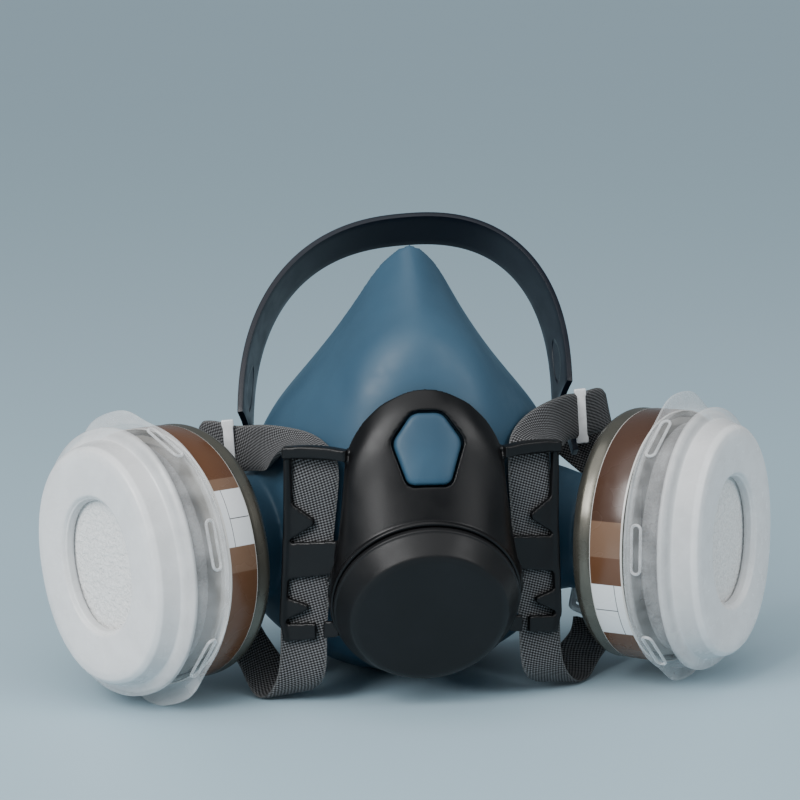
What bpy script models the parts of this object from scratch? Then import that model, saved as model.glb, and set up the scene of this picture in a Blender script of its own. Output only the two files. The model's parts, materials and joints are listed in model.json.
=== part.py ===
"""Half-mask respirator at rest on its chin and on the lower tabs of both filter retainers.

Metres, Z up, wearer's face towards +Y. X = 0 is the symmetry plane of the facepiece and the
origin is the point where the chin touches the ground. "right" is +X, seen from the front.
"""

import math

import bmesh
import bpy
import numpy as np
from mathutils import Matrix, Vector

MM = 0.001
GAP = 0.3  # clearance between neighbouring pieces, in mm like every length below

# Facepiece
FACE_WALL = 2.4
LIP_INNER = 0.78  # sealing lip edge, as a share of the outline about its middle
LIP_MIDDLE = 0.93
LIP_CENTRE_Z = 60
# Stations from nose bridge to chin: rim, widest part of the wall, edge of the front panel
FACE_STATIONS = (
    ((0, -9, 154.5), (0, -30, 135), (0, -46, 110)),
    ((8.8, -5, 148.5), (9.8, -25, 134), (8.5, -46, 108.5)),
    ((15.5, 0, 138), (19.4, -20, 127), (16, -45.5, 104)),
    ((24, 6, 124), (29.4, -14, 115), (21.5, -45, 97)),
    ((34.5, 13, 109), (39.5, -9, 103), (25, -44.5, 88)),
    ((45, 22, 93), (48.5, -5, 90), (26, -44.5, 79)),
    ((52, 31, 76), (54, 0, 74), (26.5, -44.5, 69)),
    ((58.5, 37, 60), (58.5, 3, 58), (27, -44.5, 59)),
    ((59, 38, 43), (58, 3, 43), (27, -44.8, 47)),
    ((54, 34, 26), (54, 1, 28), (26, -41.5, 35)),
    ((44, 29, 13), (43.5, -2, 15.5), (21, -38, 27)),
    ((30, 25, 5), (28.5, -3, 6), (14.5, -35.8, 22)),
    ((15, 23, 1.8), (14, -3.5, 1.2), (7.5, -34.4, 19)),
    ((0, 22, 1.2), (0, -4, 0), (0, -34, 18.3)),
)

# Exhalation axis: centre of the collar face on the yoke, tilted down
EXHALE_CENTRE = (0, -54.2, 39.5)
EXHALE_TILT = 24.3
COLLAR_RADIUS = 32.4
COLLAR_LIP = 4.2
EXHALE_BORE = 14.3
COVER_RADIUS = 31.6
COVER_FACE_RADIUS = 24.8
COVER_HEIGHT = 10.6
COVER_WALL = 1.8

# Yoke dome: angle round the collar, outline point, rise of the collar off the dome
YOKE_WALL = 2.0
YOKE_STATIONS = (
    (90, (0, -50, 111), 1.6),
    (76, (9.4, -49.9, 109.8), 1.6),
    (63, (16, -49.4, 105.3), 1.7),
    (51, (21.9, -48.9, 98.5), 1.9),
    (40, (26, -48.6, 90.5), 2.1),
    (30, (27.4, -48.5, 80), 2.3),
    (20, (28.2, -48.6, 70), 2.6),
    (10, (29.6, -49, 58), 3),
    (0, (31.6, -50, 47), 3.4),
)
COLLAR_DEPTH = 8
COLLAR_STATIONS = (-14, -29, -44, -59, -75, -90)

# Strap frames on both sides of the yoke, in a plane slanting back from the dome
WING_ROOT = (25.5, -50)
WING_SLANT = 21
WING_PLATE = 2.0
WING_OUTLINE = (
    (3.5, 26.2), (23.4, 23), (24, 30), (22.2, 62), (22, 90.6), (-2, 90.2), (-2, 52), (3.5, 46),
)
UPPER_WINDOW = (
    (1.4, 59.7), (20.8, 57.8), (20.6, 59), (12.2, 64.6), (12.2, 66.4), (20, 71.4),
    (20.3, 87), (1.4, 87),
)
LOWER_WINDOW = (
    (5.6, 47.8), (21.2, 45.2), (21.8, 38.6), (14.4, 36.6), (14.4, 35), (22.2, 30.8),
    (22.2, 29.4), (11.8, 30.4), (11.8, 18), (9.2, 18), (9.2, 31), (5.6, 31.6),
)
CROSSBAR = (0.5, 22.6, 87.1, 91.0)
CROSSBAR_PLATE = 4.4

# Badge: rounded shield in a window of the dome
BADGE_OUTLINE = ((-5, 12), (5, 12), (11.8, 2.5), (7, -12), (-7, -12), (-11.8, 2.5))
BADGE_CENTRE = (0, -59.2, 92.6)
BADGE_TILT = 20
BADGE_PLATE = 2.2
BADGE_BOW = 0.014

# Bayonet axis on the right, level with the retainer flange, and the way it points. The two
# cartridges are the same part turned half round, so their slanted ovals lean opposite ways.
PORT_CENTRE = (88.3, -32.7, 52.65)
CARTRIDGE_YAW = 49.4
CARTRIDGE_PITCH = 2.6
CARTRIDGE_ROLL = 10.6
OVAL_LEAN = 5.6
CARTRIDGE_OFFSET = 10  # from the bayonet axis out to the middle of the oval

# Half sizes across and up, exponent of the rounded outline
FLANGE = (43.4, 47.0)
OVAL_POWER = 2.15
OVAL_STEPS = 28
TAB_HEIGHT = 4.2
RETAINER_WALL = 1.2
# Retainer outer surface: inset from the flange outline across and up, height above the flange
RETAINER_ROWS = (
    (0, 0, 0.7), (1.4, 0.8, 0.9), (6.4, 1.8, 9.2), (5.7, 1.0, 9.8), (5.7, 1.0, 11.0),
    (7.2, 2.4, 12.0), (10.6, 5.0, 12.6), (13.2, 6.6, 18.8), (14.6, 8.0, 20.4), (17, 10.4, 20.8),
    (26.4, 23.2, 20.5), (28.4, 25.2, 17.2),
)
# Snap windows in the retainer's skirt: places round it, then length, width, height above the flange
SNAP_ANGLES = (0, 52, 128, 180, 232, 308)
SNAP_SLOT = (14, 2.4, 3.2)

HOUSING_BASE = (42.6, 44.6)
HOUSING_BODY = (41.8, 43.8)
HOUSING_DEPTH = 22
HOUSING_SHOULDER = 14.6
HOUSING_WALL = 1.5
LABEL_WALL = 0.4

PORT_BOSS_RADIUS = 20.5
PORT_BOSS_FACE = -27
PORT_BOSS_ROOT = -54
PORT_HOLE = 15.2

# Head cradle: hinge line through both clips, leaning back
CRADLE_CENTRE = (2.0, 10, 85.8)
CRADLE_ROLL = 4.0
CRADLE_LEAN = 35
CRADLE_HALF_WIDTH = 60.5
CRADLE_HEIGHT = 82.8
CRADLE_POWER = 2.35
CRADLE_SKEW = 0.105
CRADLE_BAND = 15.5
CRADLE_TAPER = 4.1
CRADLE_WALL = 2.0
CRADLE_FOOT = 9  # the arch starts this far above the hinge line
# Legs below the arch, left and right: step out, height above the hinge line, front edge as a
# share of the band; the left one stops short of the facepiece
CRADLE_LEGS = (
    ((2.2, 5, 0), (4.6, -0.5, -0.1)),
    ((1.2, 4, 0), (3.3, -6, -0.15), (4.2, -13, -0.2)),
)

STRAP_WIDTH = 16.5
STRAP_WALL = 1.5
# Strap centre line and width direction, from the lower end up over the crossbar; it stops short
# of the clip, where the webbing bends as the head cradle swings
RIGHT_STRAP = (
    ((67, -8.6, 17), (0.93, 0.1, -0.3)),
    ((65.1, -13.1, 13), (0.95, 0.1, -0.28)),
    ((60.5, -17, 9), (0.96, 0.05, -0.28)),
    ((54.5, -25, 3.0), (0.96, 0.15, -0.22)),
    ((47.5, -35, 4.2), (0.93, 0.3, -0.1)),
    ((42.2, -41.8, 13), (0.93, 0.37, 0)),
    ((41.2, -41.7, 24), (0.93, 0.36, 0)),
    ((39.5, -42.5, 46), (0.93, 0.36, 0)),
    ((37.6, -43.1, 68), (0.93, 0.36, 0)),
    ((36.6, -43.2, 84), (0.93, 0.36, 0)),
    ((37, -40.5, 91), (0.93, 0.36, 0)),
    ((40.2, -34.6, 94), (0.84, 0.1, -0.53)),
    ((47.5, -23, 93.5), (0.5, -0.05, -0.86)),
    ((54.2, -10.4, 92.2), (0.2, 0.02, -0.98)),
    ((57.6, -4.6, 91.4), (0.12, 0.02, -0.99)),
)
LEFT_STRAP = (
    ((-61, -12.2, 20), (-0.86, -0.47, -0.12)),
    ((-57.4, -16.8, 15.4), (-0.62, -0.62, -0.48)),
    ((-51.8, -25, 6.8), (-0.82, -0.45, -0.36)),
    ((-46.5, -33.5, 2.7), (-0.96, -0.02, -0.2)),
    ((-42.6, -39.5, 6.9), (-0.94, 0.25, -0.1)),
    ((-40.8, -42.1, 15), (-0.93, 0.36, 0)),
    ((-40.4, -41.9, 26), (-0.93, 0.36, 0)),
    ((-39.2, -42.7, 46), (-0.93, 0.36, 0)),
    ((-37.4, -43.1, 68), (-0.93, 0.36, 0)),
    ((-36.4, -43.2, 84), (-0.93, 0.36, 0)),
    ((-36.9, -40.4, 91), (-0.93, 0.36, 0)),
    ((-40.2, -34.6, 92), (-0.8, 0.1, -0.58)),
    ((-46.5, -23, 88.5), (-0.4, -0.05, -0.91)),
    ((-52.4, -10.4, 84.2), (-0.12, 0.02, -0.99)),
    ((-55, -4.6, 83), (-0.06, 0.02, -1)),
)
RIGHT_TAIL = (
    ((63.4, 3.4, 90.4), (0.07, 0.02, -0.99)),
    ((68.2, 8.4, 90.5), (0.05, 0, -1)),
    ((73, 13.8, 90), (0.1, 0, -0.99)),
    ((76.8, 18.8, 87.4), (0.25, 0.1, -0.96)),
    ((75.4, 23.2, 82.5), (0.5, 0.15, -0.85)),
    ((69.2, 25.5, 75), (0.7, 0.1, -0.7)),
    ((64, 25.5, 68), (0.75, 0.1, -0.65)),
)
LEFT_TAIL = (
    ((-60.8, 3, 81.5), (-0.03, 0.02, -1)),
    ((-64.8, 8.4, 81.6), (-0.05, 0, -1)),
    ((-69.8, 13.8, 81.4), (-0.1, 0, -0.99)),
    ((-73.4, 18.8, 79.6), (-0.25, 0.1, -0.96)),
    ((-72.4, 23.2, 75.5), (-0.5, 0.15, -0.85)),
    ((-68.6, 25.5, 70.5), (-0.65, 0.1, -0.75)),
)

CLIP_SIZE = (4.0, 1.6, 20.5)
BUCKLE_SIZE = (21, 12, 2.6)

MATERIALS = {
    "silicone": ((0.12, 0.22, 0.3, 1), 0.5, 0.0),
    "frame": ((0.03, 0.03, 0.035, 1), 0.45, 0.0),
    "cover": ((0.025, 0.025, 0.03, 1), 0.6, 0.0),
    "badge": ((0.1, 0.25, 0.38, 1), 0.5, 0.0),
    "valve": ((0.75, 0.75, 0.7, 1), 0.5, 0.0),
    "port": ((0.08, 0.09, 0.1, 1), 0.45, 0.0),
    "gasket": ((0.03, 0.03, 0.03, 1), 0.8, 0.0),
    "housing": ((0.36, 0.36, 0.33, 1), 0.35, 0.0),
    "label": ((0.25, 0.13, 0.08, 1), 0.5, 0.0),
    "carbon": ((0.02, 0.02, 0.02, 1), 0.9, 0.0),
    "retainer": ((0.8, 0.81, 0.82, 1), 0.35, 0.0),
    "filter": ((0.85, 0.85, 0.84, 1), 0.9, 0.0),
    "cradle": ((0.03, 0.045, 0.07, 1), 0.45, 0.0),
    "webbing": ((0.12, 0.12, 0.13, 1), 0.9, 0.0),
    "clear": ((0.8, 0.82, 0.83, 1), 0.3, 0.0),
}


# Scene and mesh helpers


def clear_scene():
    for obj in list(bpy.data.objects):
        bpy.data.objects.remove(obj, do_unlink=True)


def new_collection(name):
    collection = bpy.data.collections.new(name)
    bpy.context.scene.collection.children.link(collection)
    return collection


def material(kind):
    found = bpy.data.materials.get(kind)
    if found:
        return found
    colour, roughness, metallic = MATERIALS[kind]
    made = bpy.data.materials.new(kind)
    made.use_nodes = True
    shader = made.node_tree.nodes["Principled BSDF"]
    shader.inputs["Base Color"].default_value = colour
    shader.inputs["Roughness"].default_value = roughness
    shader.inputs["Metallic"].default_value = metallic
    made.diffuse_color = colour
    return made


def add_piece(name, kind, points, faces):
    """A mesh object from points in mm, its faces turned outwards."""
    mesh = bpy.data.meshes.new(name)
    mesh.from_pydata([Vector(p) * MM for p in points], [], faces)
    shell = bmesh.new()
    shell.from_mesh(mesh)
    bmesh.ops.remove_doubles(shell, verts=shell.verts, dist=1e-7)
    bmesh.ops.recalc_face_normals(shell, faces=shell.faces)
    shell.to_mesh(mesh)
    shell.free()
    obj = bpy.data.objects.new(name, mesh)
    obj.data.materials.append(material(kind))
    PARTS.objects.link(obj)
    return obj


def baked(obj):
    """The object with its modifiers made part of its mesh."""
    graph = bpy.context.evaluated_depsgraph_get()
    graph.update()
    mesh = bpy.data.meshes.new_from_object(obj.evaluated_get(graph))
    obj.modifiers.clear()
    obj.data = mesh
    return obj


def smooth(obj, angle=35):
    obj.data.shade_smooth()
    obj.data.set_sharp_from_angle(angle=math.radians(angle))
    return obj


def solidify(obj, wall, offset=-1):
    shell = obj.modifiers.new("wall", "SOLIDIFY")
    shell.thickness = wall * MM
    shell.offset = offset
    return baked(obj)


def bevel(obj, width, segments=2, angle=40):
    edge = obj.modifiers.new("edges", "BEVEL")
    edge.width = width * MM
    edge.segments = segments
    edge.limit_method = "ANGLE"
    edge.angle_limit = math.radians(angle)
    return baked(obj)


def boolean(obj, other, operation="DIFFERENCE"):
    step = obj.modifiers.new(operation.lower(), "BOOLEAN")
    step.operation = operation
    step.solver = "EXACT"
    step.object = other
    baked(obj)
    bpy.data.objects.remove(other, do_unlink=True)
    return obj


def placed(obj, matrix):
    obj.data.transform(matrix)
    return obj


def mirrored(obj, name):
    """A copy on the other side of X = 0, with its own mesh and its origin mirrored."""
    mesh = obj.data.copy()
    mesh.transform(Matrix.Scale(-1, 4, (1, 0, 0)))
    mesh.flip_normals()
    copy = bpy.data.objects.new(name, mesh)
    copy.location = (-obj.location.x, obj.location.y, obj.location.z)
    PARTS.objects.link(copy)
    return copy


def set_origin(obj, point):
    """Moves the origin to a point in mm without moving the shape."""
    where = Vector(point) * MM
    obj.data.transform(Matrix.Translation(-where))
    obj.location = where
    return obj


# Shape helpers, all in mm


def frame_matrix(origin, across, up, along):
    """The matrix from a local frame to the scene."""
    matrix = Matrix.Identity(4)
    for column, axis in enumerate((across, up, along)):
        matrix.col[column] = Vector((*axis, 0))
    matrix.translation = Vector(origin) * MM
    return matrix


def oval(half_width, half_height, power=OVAL_POWER, steps=OVAL_STEPS, tab=0, lean=0):
    """A rounded outline; tab lengthens it at the top and at the bottom, lean degrees round."""
    points = []
    for index in range(steps):
        angle = 2 * math.pi * index / steps
        c, s = math.cos(angle), math.sin(angle)
        x = math.copysign(abs(c) ** (2 / power), c) * half_width
        y = math.copysign(abs(s) ** (2 / power), s) * half_height
        lift = tab * math.exp(-((math.cos(angle + math.radians(lean)) / 0.34) ** 4))
        points.append((x, y + math.copysign(lift, s)))
    return points


def circle(radius, steps=OVAL_STEPS):
    return oval(radius, radius, 2, steps)


def loft_faces(rows, columns, closed):
    """Quads between rows of points."""
    faces = []
    spans = columns if closed else columns - 1
    for row in range(rows - 1):
        for column in range(spans):
            a = row * columns + column
            b = row * columns + (column + 1) % columns
            faces.append((a, b, b + columns, a + columns))
    return faces


def lathe_rows(name, kind, rows, cap_start=True, cap_end=True):
    """A body through outlines given as (points, height), in the local frame."""
    points = [(x, y, height) for outline, height in rows for x, y in outline]
    columns = len(rows[0][0])
    faces = loft_faces(len(rows), columns, True)
    if cap_start:
        faces.append(tuple(reversed(range(columns))))
    if cap_end:
        last = (len(rows) - 1) * columns
        faces.append(tuple(range(last, last + columns)))
    return add_piece(name, kind, points, faces)


def revolved(name, kind, profile, steps=32):
    """A closed profile of (radius, height) turned round the local Z axis."""
    points = [(radius, 0, height) for radius, height in profile]
    edges = [(i, (i + 1) % len(profile)) for i in range(len(profile))]
    mesh = bpy.data.meshes.new(name)
    mesh.from_pydata([Vector(p) * MM for p in points], edges, [])
    obj = bpy.data.objects.new(name, mesh)
    obj.data.materials.append(material(kind))
    PARTS.objects.link(obj)
    turn = obj.modifiers.new("turn", "SCREW")
    turn.steps = steps
    turn.render_steps = steps
    turn.use_merge_vertices = True
    turn.merge_threshold = 0.00001
    baked(obj)
    return outward(obj)


def outward(obj):
    shell = bmesh.new()
    shell.from_mesh(obj.data)
    bmesh.ops.recalc_face_normals(shell, faces=shell.faces)
    shell.to_mesh(obj.data)
    shell.free()
    return obj


def prism(name, kind, outline, low, high):
    """An outline of (x, y) points drawn out along the local Z axis."""
    return lathe_rows(name, kind, ((outline, low), (outline, high)))


def block(name, kind, low, high):
    outline = ((low[0], low[1]), (high[0], low[1]), (high[0], high[1]), (low[0], high[1]))
    return prism(name, kind, outline, low[2], high[2])


def curve_through(keys, steps):
    """Points on a Catmull-Rom curve through the keys, steps per span."""
    keys = np.array(keys, float)
    ends = np.vstack((2 * keys[0] - keys[1], keys, 2 * keys[-1] - keys[-2]))
    points = []
    for span in range(len(keys) - 1):
        a, b, c, d = ends[span : span + 4]
        for t in np.arange(steps) / steps:
            points.append(
                0.5 * (2 * b + (c - a) * t + (2 * a - 5 * b + 4 * c - d) * t**2
                       + (3 * b - a - 3 * c + d) * t**3)
            )
    points.append(keys[-1])
    return np.array(points)


def ribbon(name, kind, stations, width, wall, steps=3):
    """A flat band along stations of (centre, width direction)."""
    centres = curve_through([s[0] for s in stations], steps)
    sides = curve_through([s[1] for s in stations], steps)
    sides /= np.linalg.norm(sides, axis=1)[:, None]
    points = []
    for centre, side in zip(centres, sides):
        points += [centre - side * width / 2, centre, centre + side * width / 2]
    obj = add_piece(name, kind, points, loft_faces(len(centres), 3, False))
    return smooth(solidify(obj, wall, 0), 50)


# Frames of the axes


def exhale_matrix():
    tilt = math.radians(EXHALE_TILT)
    along = (0, -math.cos(tilt), -math.sin(tilt))
    up = (0, -math.sin(tilt), math.cos(tilt))
    return frame_matrix(EXHALE_CENTRE, (1, 0, 0), up, along)


def exhale_point(angle, radius, height):
    a = math.radians(angle)
    local = Vector((math.cos(a) * radius, math.sin(a) * radius, height)) * MM
    return exhale_matrix() @ local / MM


def bayonet_matrix(roll):
    """Frame on the right bayonet axis, rolled by some degrees."""
    yaw, pitch, roll = (math.radians(a) for a in (CARTRIDGE_YAW, CARTRIDGE_PITCH, roll))
    along = Vector((math.sin(yaw) * math.cos(pitch), -math.cos(yaw) * math.cos(pitch), math.sin(pitch)))
    level = Vector((math.cos(yaw), math.sin(yaw), 0))
    upright = along.cross(level)
    across = level * math.cos(roll) - upright * math.sin(roll)
    up = upright * math.cos(roll) + level * math.sin(roll)
    return frame_matrix(PORT_CENTRE, across, up, along)


def port_matrix():
    return bayonet_matrix(CARTRIDGE_ROLL)


def cartridge_matrix(lean):
    """Frame of a cartridge seen on the right, its oval leaning by some degrees."""
    return bayonet_matrix(CARTRIDGE_ROLL + lean) @ Matrix.Translation((CARTRIDGE_OFFSET * MM, 0, 0))


def cradle_matrix():
    roll, lean = math.radians(CRADLE_ROLL), math.radians(CRADLE_LEAN)
    across = Vector((math.cos(roll), 0, math.sin(roll)))
    upright = Vector((-math.sin(roll), 0, math.cos(roll)))
    back = Vector((0, 1, 0))
    up = upright * math.cos(lean) + back * math.sin(lean)
    front = upright * math.sin(lean) - back * math.cos(lean)
    return frame_matrix(CRADLE_CENTRE, across, up, front)


def wing_matrix():
    slant = math.radians(WING_SLANT)
    along = (math.cos(slant), math.sin(slant), 0)
    front = (math.sin(slant), -math.cos(slant), 0)
    return frame_matrix((*WING_ROOT, 0), along, (0, 0, 1), front)


# Facepiece


def face_path(station, angle):
    """One line of the wall, from the sealing lip to the exhalation hole."""
    rim, wall, front = (np.array(p, float) for p in station)
    middle = np.array((0, rim[1], LIP_CENTRE_Z))
    lip = middle + (rim - middle) * LIP_INNER - (0, 7, 0)
    fold = middle + (rim - middle) * LIP_MIDDLE + (0, 1.2, 0)
    hole = np.array(exhale_point(angle, EXHALE_BORE - 1.5, -5.6))
    outside = curve_through((fold, rim, wall, front, hole), 3)[3:]
    lip_side = curve_through((lip, fold, rim), 2)[:-1]
    return np.vstack((lip_side, outside))


def facepiece_half():
    rows = []
    last = len(FACE_STATIONS) - 1
    for index, station in enumerate(FACE_STATIONS):
        path = face_path(station, 90 - 180 * index / last)
        if index in (0, last):
            path[:, 0] = 0
        rows.append(path)
    columns = len(rows[0])
    points = [p for row in rows for p in row]
    return add_piece("facepiece", "silicone", points, loft_faces(len(rows), columns, False))


def make_facepiece():
    obj = facepiece_half()
    mirror = obj.modifiers.new("mirror", "MIRROR")
    mirror.merge_threshold = 0.00001
    baked(obj)
    outward(obj)
    solidify(obj, FACE_WALL, -1)
    bore = ((0, -16), (EXHALE_BORE, -16), (EXHALE_BORE, 0), (0, 0))
    boolean(obj, placed(revolved("bore", "silicone", bore), exhale_matrix()))
    for side in (1, -1):
        boss = port_cylinder(PORT_BOSS_RADIUS, PORT_BOSS_ROOT, PORT_BOSS_FACE, side)
        boolean(obj, boss, "UNION")
        bore = port_cylinder(PORT_BOSS_RADIUS - 2.5, PORT_BOSS_ROOT - 8, PORT_BOSS_FACE - 3, side)
        boolean(obj, bore)
        hole = port_cylinder(PORT_HOLE, PORT_BOSS_FACE - 5, PORT_BOSS_FACE + 1, side)
        boolean(obj, hole)
    boolean(obj, block("ground", "silicone", (-90, -90, -9), (90, 90, 0)))
    return smooth(obj, 50)


def port_cylinder(radius, low, high, side):
    profile = ((0, low), (radius, low), (radius, high), (0, high))
    right = placed(revolved("cutter", "silicone", profile, 24), port_matrix())
    if side > 0:
        return right
    left = mirrored(right, "cutter_left")
    bpy.data.objects.remove(right, do_unlink=True)
    return left


# Yoke


def yoke_rows():
    rows = []
    for angle, outline, rise in YOKE_STATIONS:
        edge = np.array(outline, float)
        base = np.array(exhale_point(angle, COLLAR_RADIUS + 0.6, -rise))
        crest = np.array(exhale_point(angle, COLLAR_RADIUS, 0))
        lip = np.array(exhale_point(angle, COLLAR_RADIUS - COLLAR_LIP, 0))
        ahead = (edge * 0.86 + base * 0.14) + (0, -2.2, 0)
        middle = (edge + base) / 2 + (0, -1.5, 0.6)
        rows.append((edge, ahead, middle, base, crest, lip))
    for angle in COLLAR_STATIONS:
        depths = (COLLAR_DEPTH, COLLAR_DEPTH * 0.75, COLLAR_DEPTH / 2, COLLAR_DEPTH / 4, 0)
        wall = [np.array(exhale_point(angle, COLLAR_RADIUS, -depth)) for depth in depths]
        rows.append((*wall, np.array(exhale_point(angle, COLLAR_RADIUS - COLLAR_LIP, 0))))
    return rows


def make_yoke():
    rows = yoke_rows()
    for row in (rows[0], rows[-1]):
        for point in row:
            point[0] = 0
    points = [p for row in rows for p in row]
    obj = add_piece("yoke", "frame", points, loft_faces(len(rows), len(rows[0]), False))
    mirror = obj.modifiers.new("mirror", "MIRROR")
    mirror.merge_threshold = 0.00001
    baked(obj)
    outward(obj)
    solidify(obj, YOKE_WALL, -1)
    wing = make_wing()
    boolean(obj, mirrored(wing, "wing_left"), "UNION")
    boolean(obj, wing, "UNION")
    bore = ((0, -9), (COLLAR_RADIUS - COLLAR_LIP, -9), (COLLAR_RADIUS - COLLAR_LIP, 2), (0, 2))
    boolean(obj, placed(revolved("bore", "frame", bore), exhale_matrix()))
    boolean(obj, badge_solid("badge_window", 0.4, -6, 6))
    return smooth(obj, 32)


def make_wing():
    """The strap frame on the right: crossbar, two windows with a retaining hook each."""
    half = WING_PLATE / 2
    wing = prism("wing", "frame", WING_OUTLINE, -half, half)
    for outline in (UPPER_WINDOW, LOWER_WINDOW):
        boolean(wing, prism("window", "frame", outline, -4, 4))
    left, right, low, high = CROSSBAR
    bar = block("bar", "frame", (left, low, -half + 0.1), (right, high, CROSSBAR_PLATE - half))
    boolean(wing, bar, "UNION")
    return placed(wing, wing_matrix())


def badge_solid(name, margin, low, high):
    """The shield outline grown by a margin and bowed to the dome."""
    outline = []
    count = len(BADGE_OUTLINE)
    for index, corner in enumerate(BADGE_OUTLINE):
        here = np.array(corner, float)
        here = here * (1 + margin / np.linalg.norm(here))
        before = np.array(BADGE_OUTLINE[index - 1], float)
        after = np.array(BADGE_OUTLINE[(index + 1) % count], float)
        for share in (0.3, 0.12):
            outline.append(here + (before - here) * share)
        for share in (0.12, 0.3):
            outline.append(here + (after - here) * share)
    obj = prism(name, "badge", [tuple(p) for p in outline], low, high)
    for vertex in obj.data.vertices:
        vertex.co.z -= BADGE_BOW * (vertex.co.x / MM) ** 2 * MM
    tilt = math.radians(BADGE_TILT)
    front = (0, -math.cos(tilt), math.sin(tilt))
    up = (0, math.sin(tilt), math.cos(tilt))
    return placed(obj, frame_matrix(BADGE_CENTRE, (1, 0, 0), up, front))


def make_badge():
    obj = badge_solid("badge", 0, -BADGE_PLATE, 0.3)
    return smooth(obj, 40)


# Exhalation valve


def make_exhalation_valve():
    seat = (
        (11.6, -9.5), (13.9, -9.5), (13.9, -3.2), (27.6, -3.2), (27.6, -1.4), (17.5, -1.4),
        (16.6, -0.9), (15.6, -1.4), (11.6, -1.4),
    )
    piece = revolved("exhalation_valve_seat", "port", seat)
    for low, high in (((-1, -13, -3.2), (1, 13, -1.6)), ((-13, -1, -3.2), (13, 1, -1.6))):
        boolean(piece, block("spoke", "port", low, high), "UNION")
    smooth(placed(piece, exhale_matrix()))
    flap = revolved("exhalation_flap", "valve", ((0, -0.5), (17.6, -0.5), (17.6, 0.1), (0, 0.5)))
    smooth(placed(flap, exhale_matrix()))
    set_origin(flap, EXHALE_CENTRE)


def make_exhalation_cover():
    inner = COVER_RADIUS - COVER_WALL
    face = COVER_FACE_RADIUS
    profile = (
        (inner, 0.8), (COVER_RADIUS, 0.8), (COVER_RADIUS, 2.6), (30.9, 3.1), (27.2, COVER_HEIGHT - 1.8),
        (26.3, COVER_HEIGHT - 0.6), (face, COVER_HEIGHT), (0, COVER_HEIGHT), (0, COVER_HEIGHT - 2),
        (face - 1, COVER_HEIGHT - 2), (25.6, COVER_HEIGHT - 3), (29, 3),
    )
    cover = placed(revolved("exhalation_cover", "cover", profile, 40), exhale_matrix())
    smooth(cover, 30)
    return set_origin(cover, EXHALE_CENTRE)


# Inhalation ports, cartridges and retainers, made on the right and mirrored


def make_port():
    tube = (
        (10.5, -33.6), (12, -33.6), (12, -32.9), (17.2, -32.9), (17.2, -30.3), (14.9, -30.3),
        (14.9, -26.7), (19.4, -26.7), (19.4, -24.3), (10.5, -24.3),
    )
    port = revolved("inhalation_port_right", "port", tube, 24)
    gasket = revolved(
        "port_gasket_right", "gasket", ((12.5, -24), (18.5, -24), (18.5, -22.4), (12.5, -22.4)), 24
    )
    flap = revolved(
        "inhalation_flap_right", "valve", ((0, -34.8), (13.2, -34.8), (13.2, -34), (0, -34)), 24
    )
    return [on_port_axis(smooth(placed(piece, port_matrix()))) for piece in (port, gasket, flap)]


def on_port_axis(obj):
    """The origin put on the bayonet axis, round which the cartridge turns."""
    return set_origin(obj, port_matrix().translation / MM)


def oval_in(size, inset, **more):
    return oval(size[0] - inset, size[1] - inset, **more)


def make_housing():
    base, body, wall = HOUSING_BASE, HOUSING_BODY, HOUSING_WALL
    rows = (
        (oval_in(base, 5), -HOUSING_DEPTH),
        (oval_in(base, 2), -HOUSING_DEPTH + 0.7),
        (oval_in(base, 0), -HOUSING_DEPTH + 2.6),
        (oval_in(body, 0), -HOUSING_SHOULDER),
        (oval_in(body, 0), -1),
        (oval_in(body, wall), -1),
        (oval_in(body, wall), -HOUSING_SHOULDER),
        (oval_in(base, wall + 0.6), -HOUSING_DEPTH + 3),
        (oval_in(base, 5), -HOUSING_DEPTH + wall),
    )
    housing = lathe_rows("cartridge_housing_right", "housing", rows)
    inlet = revolved("inlet", "housing", ((0, -25), (11, -25), (11, -18), (0, -18)), 24)
    placed(inlet, Matrix.Translation((-CARTRIDGE_OFFSET * MM, 0, 0)))
    return boolean(housing, inlet)


def make_lid():
    outline = oval_in(HOUSING_BODY, HOUSING_WALL + GAP)
    inner = oval_in(HOUSING_BODY, HOUSING_WALL + 2.6)
    rows = ((outline, -4.4), (outline, -1.4), (inner, -1.4), (inner, -2.6))
    lid = lathe_rows("cartridge_lid_right", "housing", rows)
    for x in (-24, -12, 0, 12, 24):
        reach = 30 if abs(x) < 20 else 22
        for y in (-reach / 2, reach / 2):
            low, high = y - reach / 2 + 2, y + reach / 2 - 2
            boolean(lid, block("slot", "housing", (x - 2, low, -6), (x + 2, high, 0)))
    return lid


def make_label():
    inside = oval_in(HOUSING_BODY, -GAP)
    outside = oval_in(HOUSING_BODY, -GAP - LABEL_WALL)
    low, high = -HOUSING_SHOULDER + 0.8, -1.2
    rows = ((inside, high), (outside, high), (outside, low), (inside, low), (inside, high))
    return lathe_rows("cartridge_label_right", "label", rows, False, False)


def make_retainer(lean):
    """Cap over the filter pad, open in the middle of its face."""
    rows = []
    for across, up, height in RETAINER_ROWS:
        tab = TAB_HEIGHT if across == 0 else 0
        rows.append((oval(FLANGE[0] - across, FLANGE[1] - up, tab=tab, lean=lean), height))
    skin = lathe_rows("filter_retainer_right", "retainer", rows, False, False)
    solidify(skin, RETAINER_WALL, -1)
    for angle in SNAP_ANGLES:
        boolean(skin, snap_cutter(math.radians(angle)))
    return skin


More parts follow.
